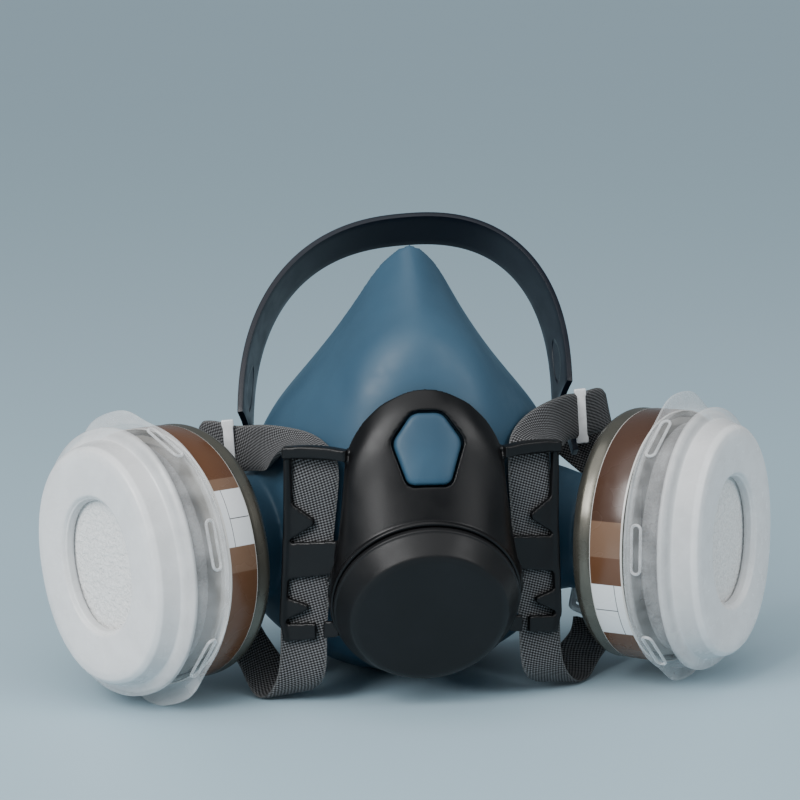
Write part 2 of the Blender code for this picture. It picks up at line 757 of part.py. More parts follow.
def snap_cutter(angle):
    """A block through the skirt, square to the outline at this angle."""
    length, width, height = SNAP_SLOT
    across, up = FLANGE[0] - 3, FLANGE[1] - 1.2
    power = OVAL_POWER
    c, s = math.cos(angle), math.sin(angle)
    x = math.copysign(abs(c) ** (2 / power), c)
    y = math.copysign(abs(s) ** (2 / power), s)
    out = Vector(
        (math.copysign(abs(x) ** (power - 1), x) / across, math.copysign(abs(y) ** (power - 1), y) / up, 0)
    ).normalized()
    cutter = block("snap", "retainer", (-3.5, -length / 2, -width / 2), (3.5, length / 2, width / 2))
    return placed(
        cutter, frame_matrix((x * across, y * up, height), out, Vector((0, 0, 1)).cross(out), (0, 0, 1))
    )


def make_filter():
    """Felt pad, crowned in the middle to fill the retainer's opening."""
    sizes = ((34.6, 40.5, 2.2), (34.6, 40.5, 7.6), (29, 37, 10.6), (25.5, 34, 14.6), (17, 25, 15.4))
    return lathe_rows("particulate_filter_right", "filter", [(oval(a, b), h) for a, b, h in sizes])


def make_cartridge(lean):
    """Cartridge and retainer pieces on the right, with an oval leaning by some degrees."""
    pieces = [make_housing(), make_lid(), make_label(), make_filter(), make_retainer(lean)]
    bed = oval_in(HOUSING_BODY, HOUSING_WALL + 1.2)
    foot = oval_in(HOUSING_BASE, 4.6)
    pieces.append(lathe_rows("sorbent_bed_right", "carbon", ((foot, -18), (bed, -13), (bed, -4.8))))
    matrix = cartridge_matrix(lean)
    return [on_port_axis(smooth(placed(outward(piece), matrix), 34)) for piece in pieces]


# Harness


def cradle_row(share):
    """Front edge, middle and back edge of the band at a share of the way from foot to foot."""
    angle = math.pi * share
    c, s = math.cos(angle), math.sin(angle)
    power = 2 / CRADLE_POWER
    edges = []
    for depth in (0.5, 0, -0.5):
        inset = CRADLE_TAPER * (0.5 - depth)
        height = abs(s) ** power * (CRADLE_HEIGHT - inset)
        x = -math.copysign(abs(c) ** power, c) * (CRADLE_HALF_WIDTH - inset * abs(c))
        rise = CRADLE_FOOT + height * (1 - CRADLE_FOOT / CRADLE_HEIGHT)
        edges.append((x + CRADLE_SKEW * height, rise, depth * CRADLE_BAND))
    return edges


def cradle_leg(foot):
    """Rows from the tip of a leg up to the arch, narrowed from the front to clear the strap."""
    back = foot[2]
    side = math.copysign(1, back[0])
    rows = []
    for step, rise, share in reversed(CRADLE_LEGS[int(side > 0)]):
        depths = np.linspace(share, -0.5, 3) * CRADLE_BAND
        rows.append([(back[0] + side * step, rise, depth) for depth in depths])
    return rows


def make_cradle():
    arch = [cradle_row(share) for share in np.linspace(0, 1, 41)]
    rows = cradle_leg(arch[0]) + arch + cradle_leg(arch[-1])[::-1]
    points = [p for row in rows for p in row]
    band = add_piece("head_cradle", "cradle", points, loft_faces(len(rows), 3, False))
    solidify(band, CRADLE_WALL, -1)
    placed(band, cradle_matrix())
    smooth(band, 50)
    return set_origin(band, CRADLE_CENTRE)


def make_clip(name, foot):
    """Upright clip with short ends, in front of the webbing at one foot of the cradle."""
    width, depth, height = CLIP_SIZE
    post = block(name, "clear", (-width / 2, -height / 2, 1.4), (width / 2, height / 2, 1.4 + depth))
    for y in (-1, 1):
        low, high = sorted((y * height / 2, y * (height / 2 - 2)))
        end = block("end", "clear", (-width / 2 - 0.6, low, 0.9), (width / 2 + 0.6, high, 2.6))
        boolean(post, end, "UNION")
    bevel(post, 0.4, 1)
    roll = math.radians(CRADLE_ROLL)
    across = (math.cos(roll), 0, math.sin(roll))
    up = (-math.sin(roll), 0, math.cos(roll))
    placed(post, frame_matrix(foot, across, up, (0, -1, 0)))
    smooth(outward(post), 30)
    return set_origin(post, CRADLE_CENTRE)


def make_buckle(name, stations, hook):
    """A clear plate hinged on the lower strap end; hook gives the half with a tongue."""
    width, length, wall = BUCKLE_SIZE
    plate = block(name, "clear", (-width / 2, 0, -wall / 2), (width / 2, length, wall / 2))
    boolean(plate, block("slot", "clear", (-width / 2 + 2.2, 2, -4), (width / 2 - 2.2, 4.4, 4)))
    if hook:
        half = wall / 2 - 0.2
        tongue = block("tongue", "clear", (-4.5, length - 0.5, -half), (4.5, length + 5, half))
        boolean(plate, tongue, "UNION")
    else:
        boolean(plate, block("gate", "clear", (-6, 6.6, -4), (6, 9.6, 4)))
    bevel(plate, 0.5, 1)
    end = np.array(stations[0][0], float)
    run = end - np.array(stations[1][0], float)
    run /= np.linalg.norm(run)
    side = np.array(stations[0][1], float)
    side -= run * side.dot(run)
    side /= np.linalg.norm(side)
    normal = np.cross(side, run)
    placed(plate, frame_matrix(end + run * 1.6, side, run, normal))
    return smooth(set_origin(plate, end), 30)


def make_harness():
    ribbon("strap_right", "webbing", RIGHT_STRAP, STRAP_WIDTH, STRAP_WALL)
    ribbon("strap_left", "webbing", LEFT_STRAP, STRAP_WIDTH, STRAP_WALL)
    make_buckle("neck_buckle_right", RIGHT_STRAP, True)
    make_buckle("neck_buckle_left", LEFT_STRAP, False)
    make_cradle()
    for side, stations in (("right", RIGHT_TAIL), ("left", LEFT_TAIL)):
        tail = ribbon("strap_tail_" + side, "webbing", stations, STRAP_WIDTH, STRAP_WALL)
        set_origin(tail, CRADLE_CENTRE)
        make_clip("strap_clip_" + side, stations[0][0])


clear_scene()
PARTS = new_collection("half_mask_respirator")
make_facepiece()
make_yoke()
make_badge()
make_exhalation_valve()
make_exhalation_cover()
for piece in make_port():
    mirrored(piece, piece.name.replace("_right", "_left"))
for piece in make_cartridge(OVAL_LEAN):
    mirrored(piece, piece.name.replace("_right", "_left"))
    bpy.data.objects.remove(piece, do_unlink=True)
make_cartridge(-OVAL_LEAN)
make_harness()
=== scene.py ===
"""Looks of the half-mask respirator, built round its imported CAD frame.

Blender's own units are metres, +Z up. Shapes and frames below are given in millimetres, and new_mesh and
frame_matrix turn them into metres; lights are placed in metres.
"right" is +X, seen from the front, and the wearer's face is towards +Y.
"""

import json
import math

import bmesh
import bpy
import numpy as np
from mathutils import Matrix, Vector


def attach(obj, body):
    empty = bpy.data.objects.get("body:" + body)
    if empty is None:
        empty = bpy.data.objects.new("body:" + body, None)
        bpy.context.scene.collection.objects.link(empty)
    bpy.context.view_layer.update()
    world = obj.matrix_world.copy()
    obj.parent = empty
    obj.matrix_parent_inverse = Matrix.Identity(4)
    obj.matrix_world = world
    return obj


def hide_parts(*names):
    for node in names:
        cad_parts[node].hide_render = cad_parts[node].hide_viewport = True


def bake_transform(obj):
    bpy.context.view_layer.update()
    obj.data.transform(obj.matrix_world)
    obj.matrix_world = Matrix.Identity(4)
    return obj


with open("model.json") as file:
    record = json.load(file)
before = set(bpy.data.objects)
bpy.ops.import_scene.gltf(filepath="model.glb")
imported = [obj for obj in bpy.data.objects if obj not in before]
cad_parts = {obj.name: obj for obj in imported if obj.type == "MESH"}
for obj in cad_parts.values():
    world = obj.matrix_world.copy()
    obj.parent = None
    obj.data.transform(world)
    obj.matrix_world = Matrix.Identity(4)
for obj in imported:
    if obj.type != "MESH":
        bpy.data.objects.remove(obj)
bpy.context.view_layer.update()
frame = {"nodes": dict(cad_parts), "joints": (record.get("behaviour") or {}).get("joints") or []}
JOINTS = {joint["name"]: joint for joint in frame["joints"]}

MM = 0.001
ROUND_STEPS = 96  # points round a turned piece
OVAL_STEPS = 176  # points round a cartridge outline

# Facepiece stations from nose bridge to chin: rim, widest part of the wall, edge of the front panel
FACE_WALL = 2.2
LIP_INNER, LIP_MIDDLE, LIP_CENTRE_Z = 0.78, 0.93, 60
FACE_STATIONS = (
    ((0, -9, 154.5), (0, -30, 135), (0, -46, 110)),
    ((8.8, -5, 148.5), (9.8, -25, 134), (8.5, -46, 108.5)),
    ((15.5, 0, 138), (19.4, -20, 127), (16, -45.5, 104)),
    ((24, 6, 124), (29.4, -14, 115), (21.5, -45, 97)),
    ((34.5, 13, 109), (39.5, -9, 103), (25, -44.5, 88)),
    ((45, 22, 93), (48.5, -5, 90), (26, -44.5, 79)),
    ((52, 31, 76), (54, 0, 74), (26.5, -44.5, 69)),
    ((58.5, 37, 60), (58.5, 3, 58), (27, -44.5, 59)),
    ((59, 38, 43), (58, 3, 43), (27, -44.8, 47)),
    ((54, 34, 26), (54, 1, 28), (26, -41.5, 35)),
    ((44, 29, 13), (43.5, -2, 15.5), (21, -38, 27)),
    ((30, 25, 5), (28.5, -3, 6), (14.5, -35.8, 22)),
    ((15, 23, 1.8), (14, -3.5, 1.2), (7.5, -34.4, 19)),
    ((0, 22, 1.2), (0, -4, 0), (0, -34, 18.3)),
)

# Exhalation axis and the round parts on it
EXHALE_CENTRE = (0, -54.2, 39.5)
EXHALE_BORE = 14.3
COLLAR_RADIUS = 32.4
COLLAR_LIP = 4.2
COVER_RADIUS = 31.6
COVER_FACE_RADIUS = 24.8
COVER_HEIGHT = 10.6

# Yoke dome: angle round the collar, outline point, rise of the collar off the dome
YOKE_WALL = 2.0
YOKE_STATIONS = (
    (90, (0, -50, 111), 1.6),
    (76, (9.2, -49.9, 108.9), 1.6),
    (63, (16, -49.4, 104.9), 1.7),
    (51, (21.9, -48.9, 98.5), 1.9),
    (40, (26, -48.6, 90.5), 2.1),
    (30, (27.4, -48.5, 80), 2.3),
    (20, (28.2, -48.6, 70), 2.6),
    (10, (29.6, -49, 58), 3),
    (0, (31.6, -50, 47), 3.4),
)
COLLAR_DEPTH = 8
COLLAR_STATIONS = (-14, -29, -44, -59, -75, -90)

# Strap frames of the yoke, in a plane that slants back from the dome
WING_ROOT = (25.5, -50)
WING_SLANT = 21
WING_PLATE = 2.0
WING_OUTLINE = (
    (3.5, 26.2), (23.4, 23), (24, 30), (22.2, 62), (22, 90.6), (-2, 90.2), (-2, 52), (3.5, 46),
)
UPPER_WINDOW = (
    (1.4, 59.7), (20.8, 57.8), (20.6, 59), (12.2, 64.6), (12.2, 66.4), (20, 71.4),
    (20.3, 87), (1.4, 87),
)
LOWER_WINDOW = (
    (5.6, 47.8), (21.2, 45.2), (21.8, 38.6), (14.4, 36.6), (14.4, 35), (22.2, 30.8),
    (22.2, 29.4), (11.8, 30.4), (11.8, 18), (9.2, 18), (9.2, 31), (5.6, 31.6),
)
CROSSBAR = (0.5, 22.6, 87.1, 91.0)
CROSSBAR_PLATE = 4.4

BADGE_OUTLINE = ((-5, 12), (5, 12), (11.8, 2.5), (7, -12), (-7, -12), (-11.8, 2.5))
BADGE_CENTRE = (0, -59.2, 92.6)
BADGE_TILT = 20
BADGE_BOW = 0.014
# Inset and height of its edge, rounded over to the face
BADGE_ROWS = ((0, -2.2), (0, -0.9), (0.15, -0.3), (0.5, 0.15), (1.1, 0.4), (2.2, 0.5), (5, 0.5), (8.5, 0.5))

# Cartridge frame on the right: the bayonet axis comes from the frame, the rest from these
PORT_CENTRE = (88.3, -32.7, 52.65)
CARTRIDGE_ROLL = 10.6
OVAL_LEAN = {"left": 5.6, "right": -5.6}  # the same part, turned half round
CARTRIDGE_OFFSET = 10
OVAL_POWER = 2.15
TAB_HEIGHT, TAB_SPREAD = 4.2, 0.34
FLANGE = (43.4, 47.0)
HOUSING_BASE = (42.6, 44.6)
HOUSING_BODY = (41.8, 43.8)
HOUSING_DEPTH = 22
HOUSING_SHOULDER = 14.6
# Retainer outer surface: inset from the flange outline across and up, height above the flange
RETAINER_ROWS = (
    (0, 0, 0.7), (1.4, 0.8, 0.9), (6.4, 1.8, 9.2), (5.7, 1.0, 9.8), (5.7, 1.0, 11.0),
    (7.2, 2.4, 12.0), (10.6, 5.0, 12.6), (13.2, 6.6, 18.8), (14.6, 8.0, 20.4), (17, 10.4, 20.8),
    (26.4, 23.2, 20.5), (28.4, 25.2, 17.2),
)
RETAINER_WALL = 1.2

# Felt pad: half sizes across and up, height above the flange
FILTER_ROWS = (
    (34.6, 40.5, 2.2), (34.6, 40.5, 7.6), (29, 37, 10.6), (25.5, 34, 14.4), (17, 25, 15.6), (6, 9, 16.2),
)

# Head cradle
CRADLE_CENTRE = (2.0, 10, 85.8)
CRADLE_LEAN = 35
CRADLE_HALF_WIDTH = 60.5
CRADLE_HEIGHT = 82.8
CRADLE_POWER = 2.35
CRADLE_SKEW = 0.105
CRADLE_BAND = 15.5
CRADLE_TAPER = 4.1
CRADLE_WALL = 2.0
CRADLE_FOOT = 9
# Legs below the arch: step out, height above the hinge line, front edge as a share of the band
CRADLE_LEGS = (
    ((2.2, 5, 0), (4.6, -0.5, -0.1)),
    ((1.2, 4, 0), (3.3, -6, -0.15), (4.2, -13, -0.2)),
)

STRAP_WIDTH = 16.5
STRAP_WALL = 1.4
# Strap centre line and width direction, from the lower end over the crossbar, past the clip to the tail
RIGHT_STRAP = (
    ((67, -8.6, 17), (0.93, 0.1, -0.3)),
    ((65.1, -13.1, 13), (0.95, 0.1, -0.28)),
    ((60.5, -17, 9), (0.96, 0.05, -0.28)),
    ((54.5, -25, 3.0), (0.96, 0.15, -0.22)),
    ((47.5, -35, 4.2), (0.93, 0.3, -0.1)),
    ((42.2, -41.8, 13), (0.93, 0.37, 0)),
    ((41.2, -41.7, 24), (0.93, 0.36, 0)),
    ((39.5, -42.5, 46), (0.93, 0.36, 0)),
    ((37.6, -43.1, 68), (0.93, 0.36, 0)),
    ((36.6, -43.2, 84), (0.93, 0.36, 0)),
    ((37.2, -40.6, 89.2), (0.93, 0.35, -0.05)),
    ((39.8, -34.8, 90.8), (0.88, 0.25, -0.42)),
    ((47.5, -23, 91.8), (0.5, -0.05, -0.86)),
    ((54.2, -10.4, 91.6), (0.2, 0.02, -0.98)),
    ((57.6, -4.6, 91.4), (0.12, 0.02, -0.99)),
    ((63.4, 3.4, 90.4), (0.07, 0.02, -0.99)),
    ((68.2, 8.4, 90.5), (0.05, 0, -1)),
    ((73, 13.8, 90), (0.1, 0, -0.99)),
    ((76.8, 18.8, 87.4), (0.25, 0.1, -0.96)),
    ((75.4, 23.2, 82.5), (0.5, 0.15, -0.85)),
    ((69.2, 25.5, 75), (0.7, 0.1, -0.7)),
    ((64, 25.5, 68), (0.75, 0.1, -0.65)),
)
LEFT_STRAP = (
    ((-61, -12.2, 20), (-0.86, -0.47, -0.12)),
    ((-57.4, -16.8, 15.4), (-0.62, -0.62, -0.48)),
    ((-51.8, -25, 6.8), (-0.82, -0.45, -0.36)),
    ((-46.5, -33.5, 2.7), (-0.96, -0.02, -0.2)),
    ((-42.6, -39.5, 6.9), (-0.94, 0.25, -0.1)),
    ((-40.8, -42.1, 15), (-0.93, 0.36, 0)),
    ((-40.4, -41.9, 26), (-0.93, 0.36, 0)),
    ((-39.2, -42.7, 46), (-0.93, 0.36, 0)),
    ((-37.4, -43.1, 68), (-0.93, 0.36, 0)),
    ((-36.4, -43.2, 84), (-0.93, 0.36, 0)),
    ((-37.4, -40.6, 88.6), (-0.93, 0.34, 0.08)),
    ((-41, -34.8, 89.2), (-0.9, 0.2, -0.3)),
    ((-46.8, -23, 86.4), (-0.52, 0, -0.85)),
    ((-52.4, -10.4, 84.2), (-0.12, 0.02, -0.99)),
    ((-55, -4.6, 83), (-0.06, 0.02, -1)),
    ((-60.8, 3, 81.5), (-0.03, 0.02, -1)),
    ((-64.8, 8.4, 81.6), (-0.05, 0, -1)),
    ((-69.8, 13.8, 81.4), (-0.1, 0, -0.99)),
    ((-73.4, 18.8, 79.6), (-0.25, 0.1, -0.96)),
    ((-72.4, 23.2, 75.5), (-0.5, 0.15, -0.85)),
    ((-68.6, 25.5, 70.5), (-0.65, 0.1, -0.75)),
)
CLIP_STATION = 15  # where a strap passes its clip
CLIP_SIZE = (3.6, 1.6, 19.8)
LEFT_CLIP_SHIFT = (-1.7, 0, 0.7)  # off the facepiece
BUCKLE_LEAN = {"left": 0, "right": -2.5}  # off the facepiece

CAMERA_AZIMUTH = -7.13
CAMERA_ELEVATION = 10.55
CAMERA_AIM = (-2.14, 0, 98)
CAMERA_DISTANCE = 900
CAMERA_LENS = 114.6


# Curves and outlines, in mm


def spline(keys, count, closed=False):
    """Rows of points on a smooth curve through the keys, evenly spread by mean distance."""
    keys = np.array(keys, float)
    if closed:
        keys = np.concatenate((keys, keys[:1]))
    flat = keys.reshape(len(keys), -1)
    chords = np.linalg.norm(np.diff(flat, axis=0).reshape(len(flat) - 1, -1, 3), axis=2).mean(1)
    t = np.concatenate(([0], np.cumsum(np.maximum(chords, 1e-6))))
    slope = spline_slopes(t, flat, closed)
    at = np.linspace(0, t[-1], count, endpoint=not closed)
    span = np.clip(np.searchsorted(t, at, side="right") - 1, 0, len(t) - 2)
    h = (t[span + 1] - t[span])[:, None]
    s = (at - t[span])[:, None] / h
    out = (
        (2 * s**3 - 3 * s**2 + 1) * flat[span]
        + (s**3 - 2 * s**2 + s) * h * slope[span]
        + (3 * s**2 - 2 * s**3) * flat[span + 1]
        + (s**3 - s**2) * h * slope[span + 1]
    )
    return out.reshape(count, *keys.shape[1:])


def spline_slopes(t, keys, closed):
    """Slopes of the curve with an even bend through the keys."""
    h = np.diff(t)
    d = np.diff(keys, axis=0) / h[:, None]
    n = len(t)
    left, right = np.zeros((n, n)), np.zeros_like(keys)
    for i in range(1, n - 1):
        left[i, i - 1 : i + 2] = h[i], 2 * (h[i - 1] + h[i]), h[i - 1]
        right[i] = 3 * (h[i] * d[i - 1] + h[i - 1] * d[i])
    if closed:
        left[0, 0], left[0, 1], left[0, n - 2] = 2 * (h[-1] + h[0]), h[-1], h[0]
        right[0] = 3 * (h[0] * d[-1] + h[-1] * d[0])
        left[-1, 0], left[-1, -1] = 1, -1
    else:
        left[0, :2], left[-1, -2:] = (2, 1), (1, 2)
        right[0], right[-1] = 3 * d[0], 3 * d[-1]
    return np.linalg.solve(left, right)


def filleted(points, radius, steps=4, closed=False):
    """The polyline with each corner turned into a short curve."""
    points = [np.array(p, float) for p in points]
    if closed:
        points = [points[-1], *points, points[0]]
    out = [] if closed else [points[0]]
    for before, corner, after in zip(points, points[1:], points[2:]):
        toward, away = before - corner, after - corner
        reach = min(radius, 0.46 * np.linalg.norm(toward), 0.46 * np.linalg.norm(away))
        start = corner + toward / np.linalg.norm(toward) * reach
        end = corner + away / np.linalg.norm(away) * reach
        for t in np.linspace(0, 1, steps + 1):
            out.append(start * (1 - t) ** 2 + 2 * corner * t * (1 - t) + end * t**2)
    if not closed:
        out.append(points[-1])
    return np.array(out)


def squared(angles, half_width, half_height):
    """Points of an oval that is slightly squared off, at these angles."""
    c, s, power = np.cos(angles), np.sin(angles), 2 / OVAL_POWER
    return np.sign(c) * np.abs(c) ** power * half_width, np.sign(s) * np.abs(s) ** power * half_height


def oval(half_width, half_height, tab=0.0, lean=0.0):
    """Points on a rounded cartridge outline, from the side away from the nose, anticlockwise."""
    x, y = squared(OVAL_ANGLES, half_width, half_height)
    bump = np.exp(-((np.cos(OVAL_ANGLES + math.radians(lean)) / TAB_SPREAD) ** 4))
    return np.stack((x, y + np.sign(np.sin(OVAL_ANGLES)) * tab * bump), 1)


def even_oval_angles(count):
    """Angles that spread the points of a cartridge outline evenly along it."""
    fine = np.linspace(0, 2 * np.pi, 4 * count + 1)
    x, y = squared(fine, *FLANGE)
    length = np.concatenate(([0], np.cumsum(np.hypot(np.diff(x), np.diff(y)))))
    return np.interp(np.linspace(0, length[-1], count, endpoint=False), length, fine)


OVAL_ANGLES = even_oval_angles(OVAL_STEPS)


def unit(vectors):
    return vectors / np.linalg.norm(vectors, axis=1)[:, None]


def level(outline, height):
    """The flat outline, lifted to this height."""
    return np.column_stack((outline, np.full(len(outline), height)))


# Frames


def frame_matrix(origin, across, up, along):
    matrix = Matrix.Identity(4)
    for column, axis in enumerate((across, up, along)):
        matrix.col[column] = Vector((*axis, 0))
    matrix.translation = Vector(origin) * MM
    return matrix


def exhale_matrix():
    along = Vector(JOINTS["exhalation_cover_pull"]["axis"])
    return frame_matrix(EXHALE_CENTRE, (1, 0, 0), along.cross(Vector((1, 0, 0))), along)


def exhale_point(angle, radius, height):
    a = math.radians(angle)
    local = Vector((math.cos(a) * radius, math.sin(a) * radius, height)) * MM
    return np.array(exhale_matrix() @ local) / MM


def bayonet_matrix(roll):
    """Frame on the right bayonet axis, rolled by some degrees."""
    along = Vector(JOINTS["cartridge_right_twist"]["axis"])
    level = Vector((-along.y, along.x, 0)).normalized()
    upright = along.cross(level)
    roll = math.radians(roll)
    across = level * math.cos(roll) - upright * math.sin(roll)
    up = upright * math.cos(roll) + level * math.sin(roll)
    return frame_matrix(PORT_CENTRE, across, up, along)


def port_matrix():
    return bayonet_matrix(CARTRIDGE_ROLL)


def cartridge_matrix(side):
    """Frame of this side's cartridge, seen on the right."""
    rolled = bayonet_matrix(CARTRIDGE_ROLL + OVAL_LEAN[side])
    return rolled @ Matrix.Translation((CARTRIDGE_OFFSET * MM, 0, 0))


def cradle_matrix():
    across = Vector(JOINTS["head_cradle_swing"]["axis"])
    upright = Vector((-across.z, 0, across.x))
    back = Vector((0, 1, 0))
    lean = math.radians(CRADLE_LEAN)
    up = upright * math.cos(lean) + back * math.sin(lean)
    front = upright * math.sin(lean) - back * math.cos(lean)
    return frame_matrix(CRADLE_CENTRE, across, up, front)


def wing_matrix():
    slant = math.radians(WING_SLANT)
    along = (math.cos(slant), math.sin(slant), 0)
    front = (math.sin(slant), -math.cos(slant), 0)
    return frame_matrix((*WING_ROOT, 0), along, (0, 0, 1), front)


def badge_matrix():
    tilt = math.radians(BADGE_TILT)
    front = (0, -math.cos(tilt), math.sin(tilt))
    up = (0, math.sin(tilt), math.cos(tilt))
    return frame_matrix(BADGE_CENTRE, (1, 0, 0), up, front)


# Meshes


def placed(name, data):
    """A new object in the scene."""
    obj = bpy.data.objects.new(name, data)
    bpy.context.scene.collection.objects.link(obj)
    return obj


def new_mesh(name, points, faces, matrix=None, uv=None, sharp=35):
    """An object from points in mm; uv gives one pair of mm per point."""
    mesh = bpy.data.meshes.new(name)
    mesh.from_pydata((np.array(points, float) * MM).tolist(), [], faces)
    if uv is not None:
        layer = mesh.uv_layers.new(name="mm")
        loops = np.zeros(len(mesh.loops), np.int32)
        mesh.loops.foreach_get("vertex_index", loops)
        layer.data.foreach_set("uv", np.array(uv, np.float32)[loops].ravel())
    tidy = bmesh.new()
    tidy.from_mesh(mesh)
    bmesh.ops.remove_doubles(tidy, verts=tidy.verts, dist=1e-6)
    bmesh.ops.recalc_face_normals(tidy, faces=tidy.faces)
    tidy.to_mesh(mesh)
    tidy.free()
    if matrix is not None:
        mesh.transform(matrix)
    return shaded(placed(name, mesh), sharp)


def shaded(obj, sharp=35):
    obj.data.shade_smooth()
    obj.data.set_sharp_from_angle(angle=math.radians(sharp))
    return obj


def grid_faces(rows, columns, close_rows=False, close_columns=False):
    faces = []
    for row in range(rows if close_rows else rows - 1):
        for column in range(columns if close_columns else columns - 1):
            a, b = row * columns + column, row * columns + (column + 1) % columns
            below = (row + 1) % rows * columns
            faces.append((a, b, below + (column + 1) % columns, below + column))
    return faces


def lofted(name, rows, matrix=None, closed_profile=True, uv=None, sharp=35):
    """A skin over outlines of equal length; an open profile gets its ends filled."""
    rows = np.array(rows, float)
    count, columns = rows.shape[:2]
    faces = grid_faces(count, columns, closed_profile, True)
    if not closed_profile:
        faces += [tuple(range(columns)), tuple(range((count - 1) * columns, count * columns))]
    return new_mesh(name, rows.reshape(-1, 3), faces, matrix, uv, sharp)


def turned(name, profile, matrix, radius, steps=ROUND_STEPS):
    """A profile of (radius, height) turned round the local Z axis, with its corners eased."""
    on_axis = profile[0][0] == 0
    profile = filleted(profile, radius, 3, closed=not on_axis)
    turn = np.linspace(0, 2 * np.pi, steps, endpoint=False)
    circle = np.stack((np.cos(turn), np.sin(turn)), 1)
    rows = [level(circle * max(r, 0), h) for r, h in profile]
    faces = grid_faces(len(rows), steps, not on_axis, True)
    return new_mesh(name, np.vstack(rows), faces, matrix, sharp=50)


def prism(name, outline, low, high, matrix=None):
    return lofted(name, [level(outline, low), level(outline, high)], matrix, closed_profile=False)


def baked(obj):
    graph = bpy.context.evaluated_depsgraph_get()
    graph.update()
    mesh = bpy.data.meshes.new_from_object(obj.evaluated_get(graph))
    obj.modifiers.clear()
    obj.data = mesh
    return obj


def modified(obj, kind, **settings):
    """The object with one modifier applied."""
    modifier = obj.modifiers.new(kind.lower(), kind)
    for name, value in settings.items():
        setattr(modifier, name, value)
    return baked(obj)


def bevelled(obj, degrees):
    """The object with its edges eased where they turn by more than these degrees."""
    limit = math.radians(degrees)
    return modified(obj, "BEVEL", width=0.45 * MM, segments=3, limit_method="ANGLE", angle_limit=limit)


def boolean(obj, other, operation="DIFFERENCE"):
    modified(obj, "BOOLEAN", operation=operation, solver="EXACT", object=other)
    bpy.data.objects.remove(other, do_unlink=True)
    return obj


def melted(name, shells, voxel, smoothing):
    """Closed shells that overlap, made one skin with softened joins."""
    joined = bmesh.new()
    for shell in shells:
        joined.from_mesh(shell.data)
        bpy.data.objects.remove(shell, do_unlink=True)
    mesh = bpy.data.meshes.new(name)
    joined.to_mesh(mesh)
    joined.free()
    obj = placed(name, mesh)
    modified(obj, "REMESH", mode="VOXEL", voxel_size=voxel * MM)
    modified(obj, "SMOOTH", factor=0.5, iterations=smoothing)
    obj.data.shade_smooth()
    return obj


def mirrored(obj, name):
    mesh = obj.data.copy()
    mesh.transform(Matrix.Scale(-1, 4, (1, 0, 0)))
    mesh.flip_normals()
    return placed(name, mesh)


def swapped(obj):
    """The object replaced by its mirror image."""
    copy = mirrored(obj, obj.name + "_swapped")
    bpy.data.objects.remove(obj, do_unlink=True)
    return copy


def dress(obj, material, body, *nodes, slot):
    """Gives the piece its material and body, and hides the CAD nodes it stands for; slot is not used."""
    obj.data.materials.clear()
    obj.data.materials.append(material)
    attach(obj, body)
    if nodes:
        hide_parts(*nodes)


# Materials


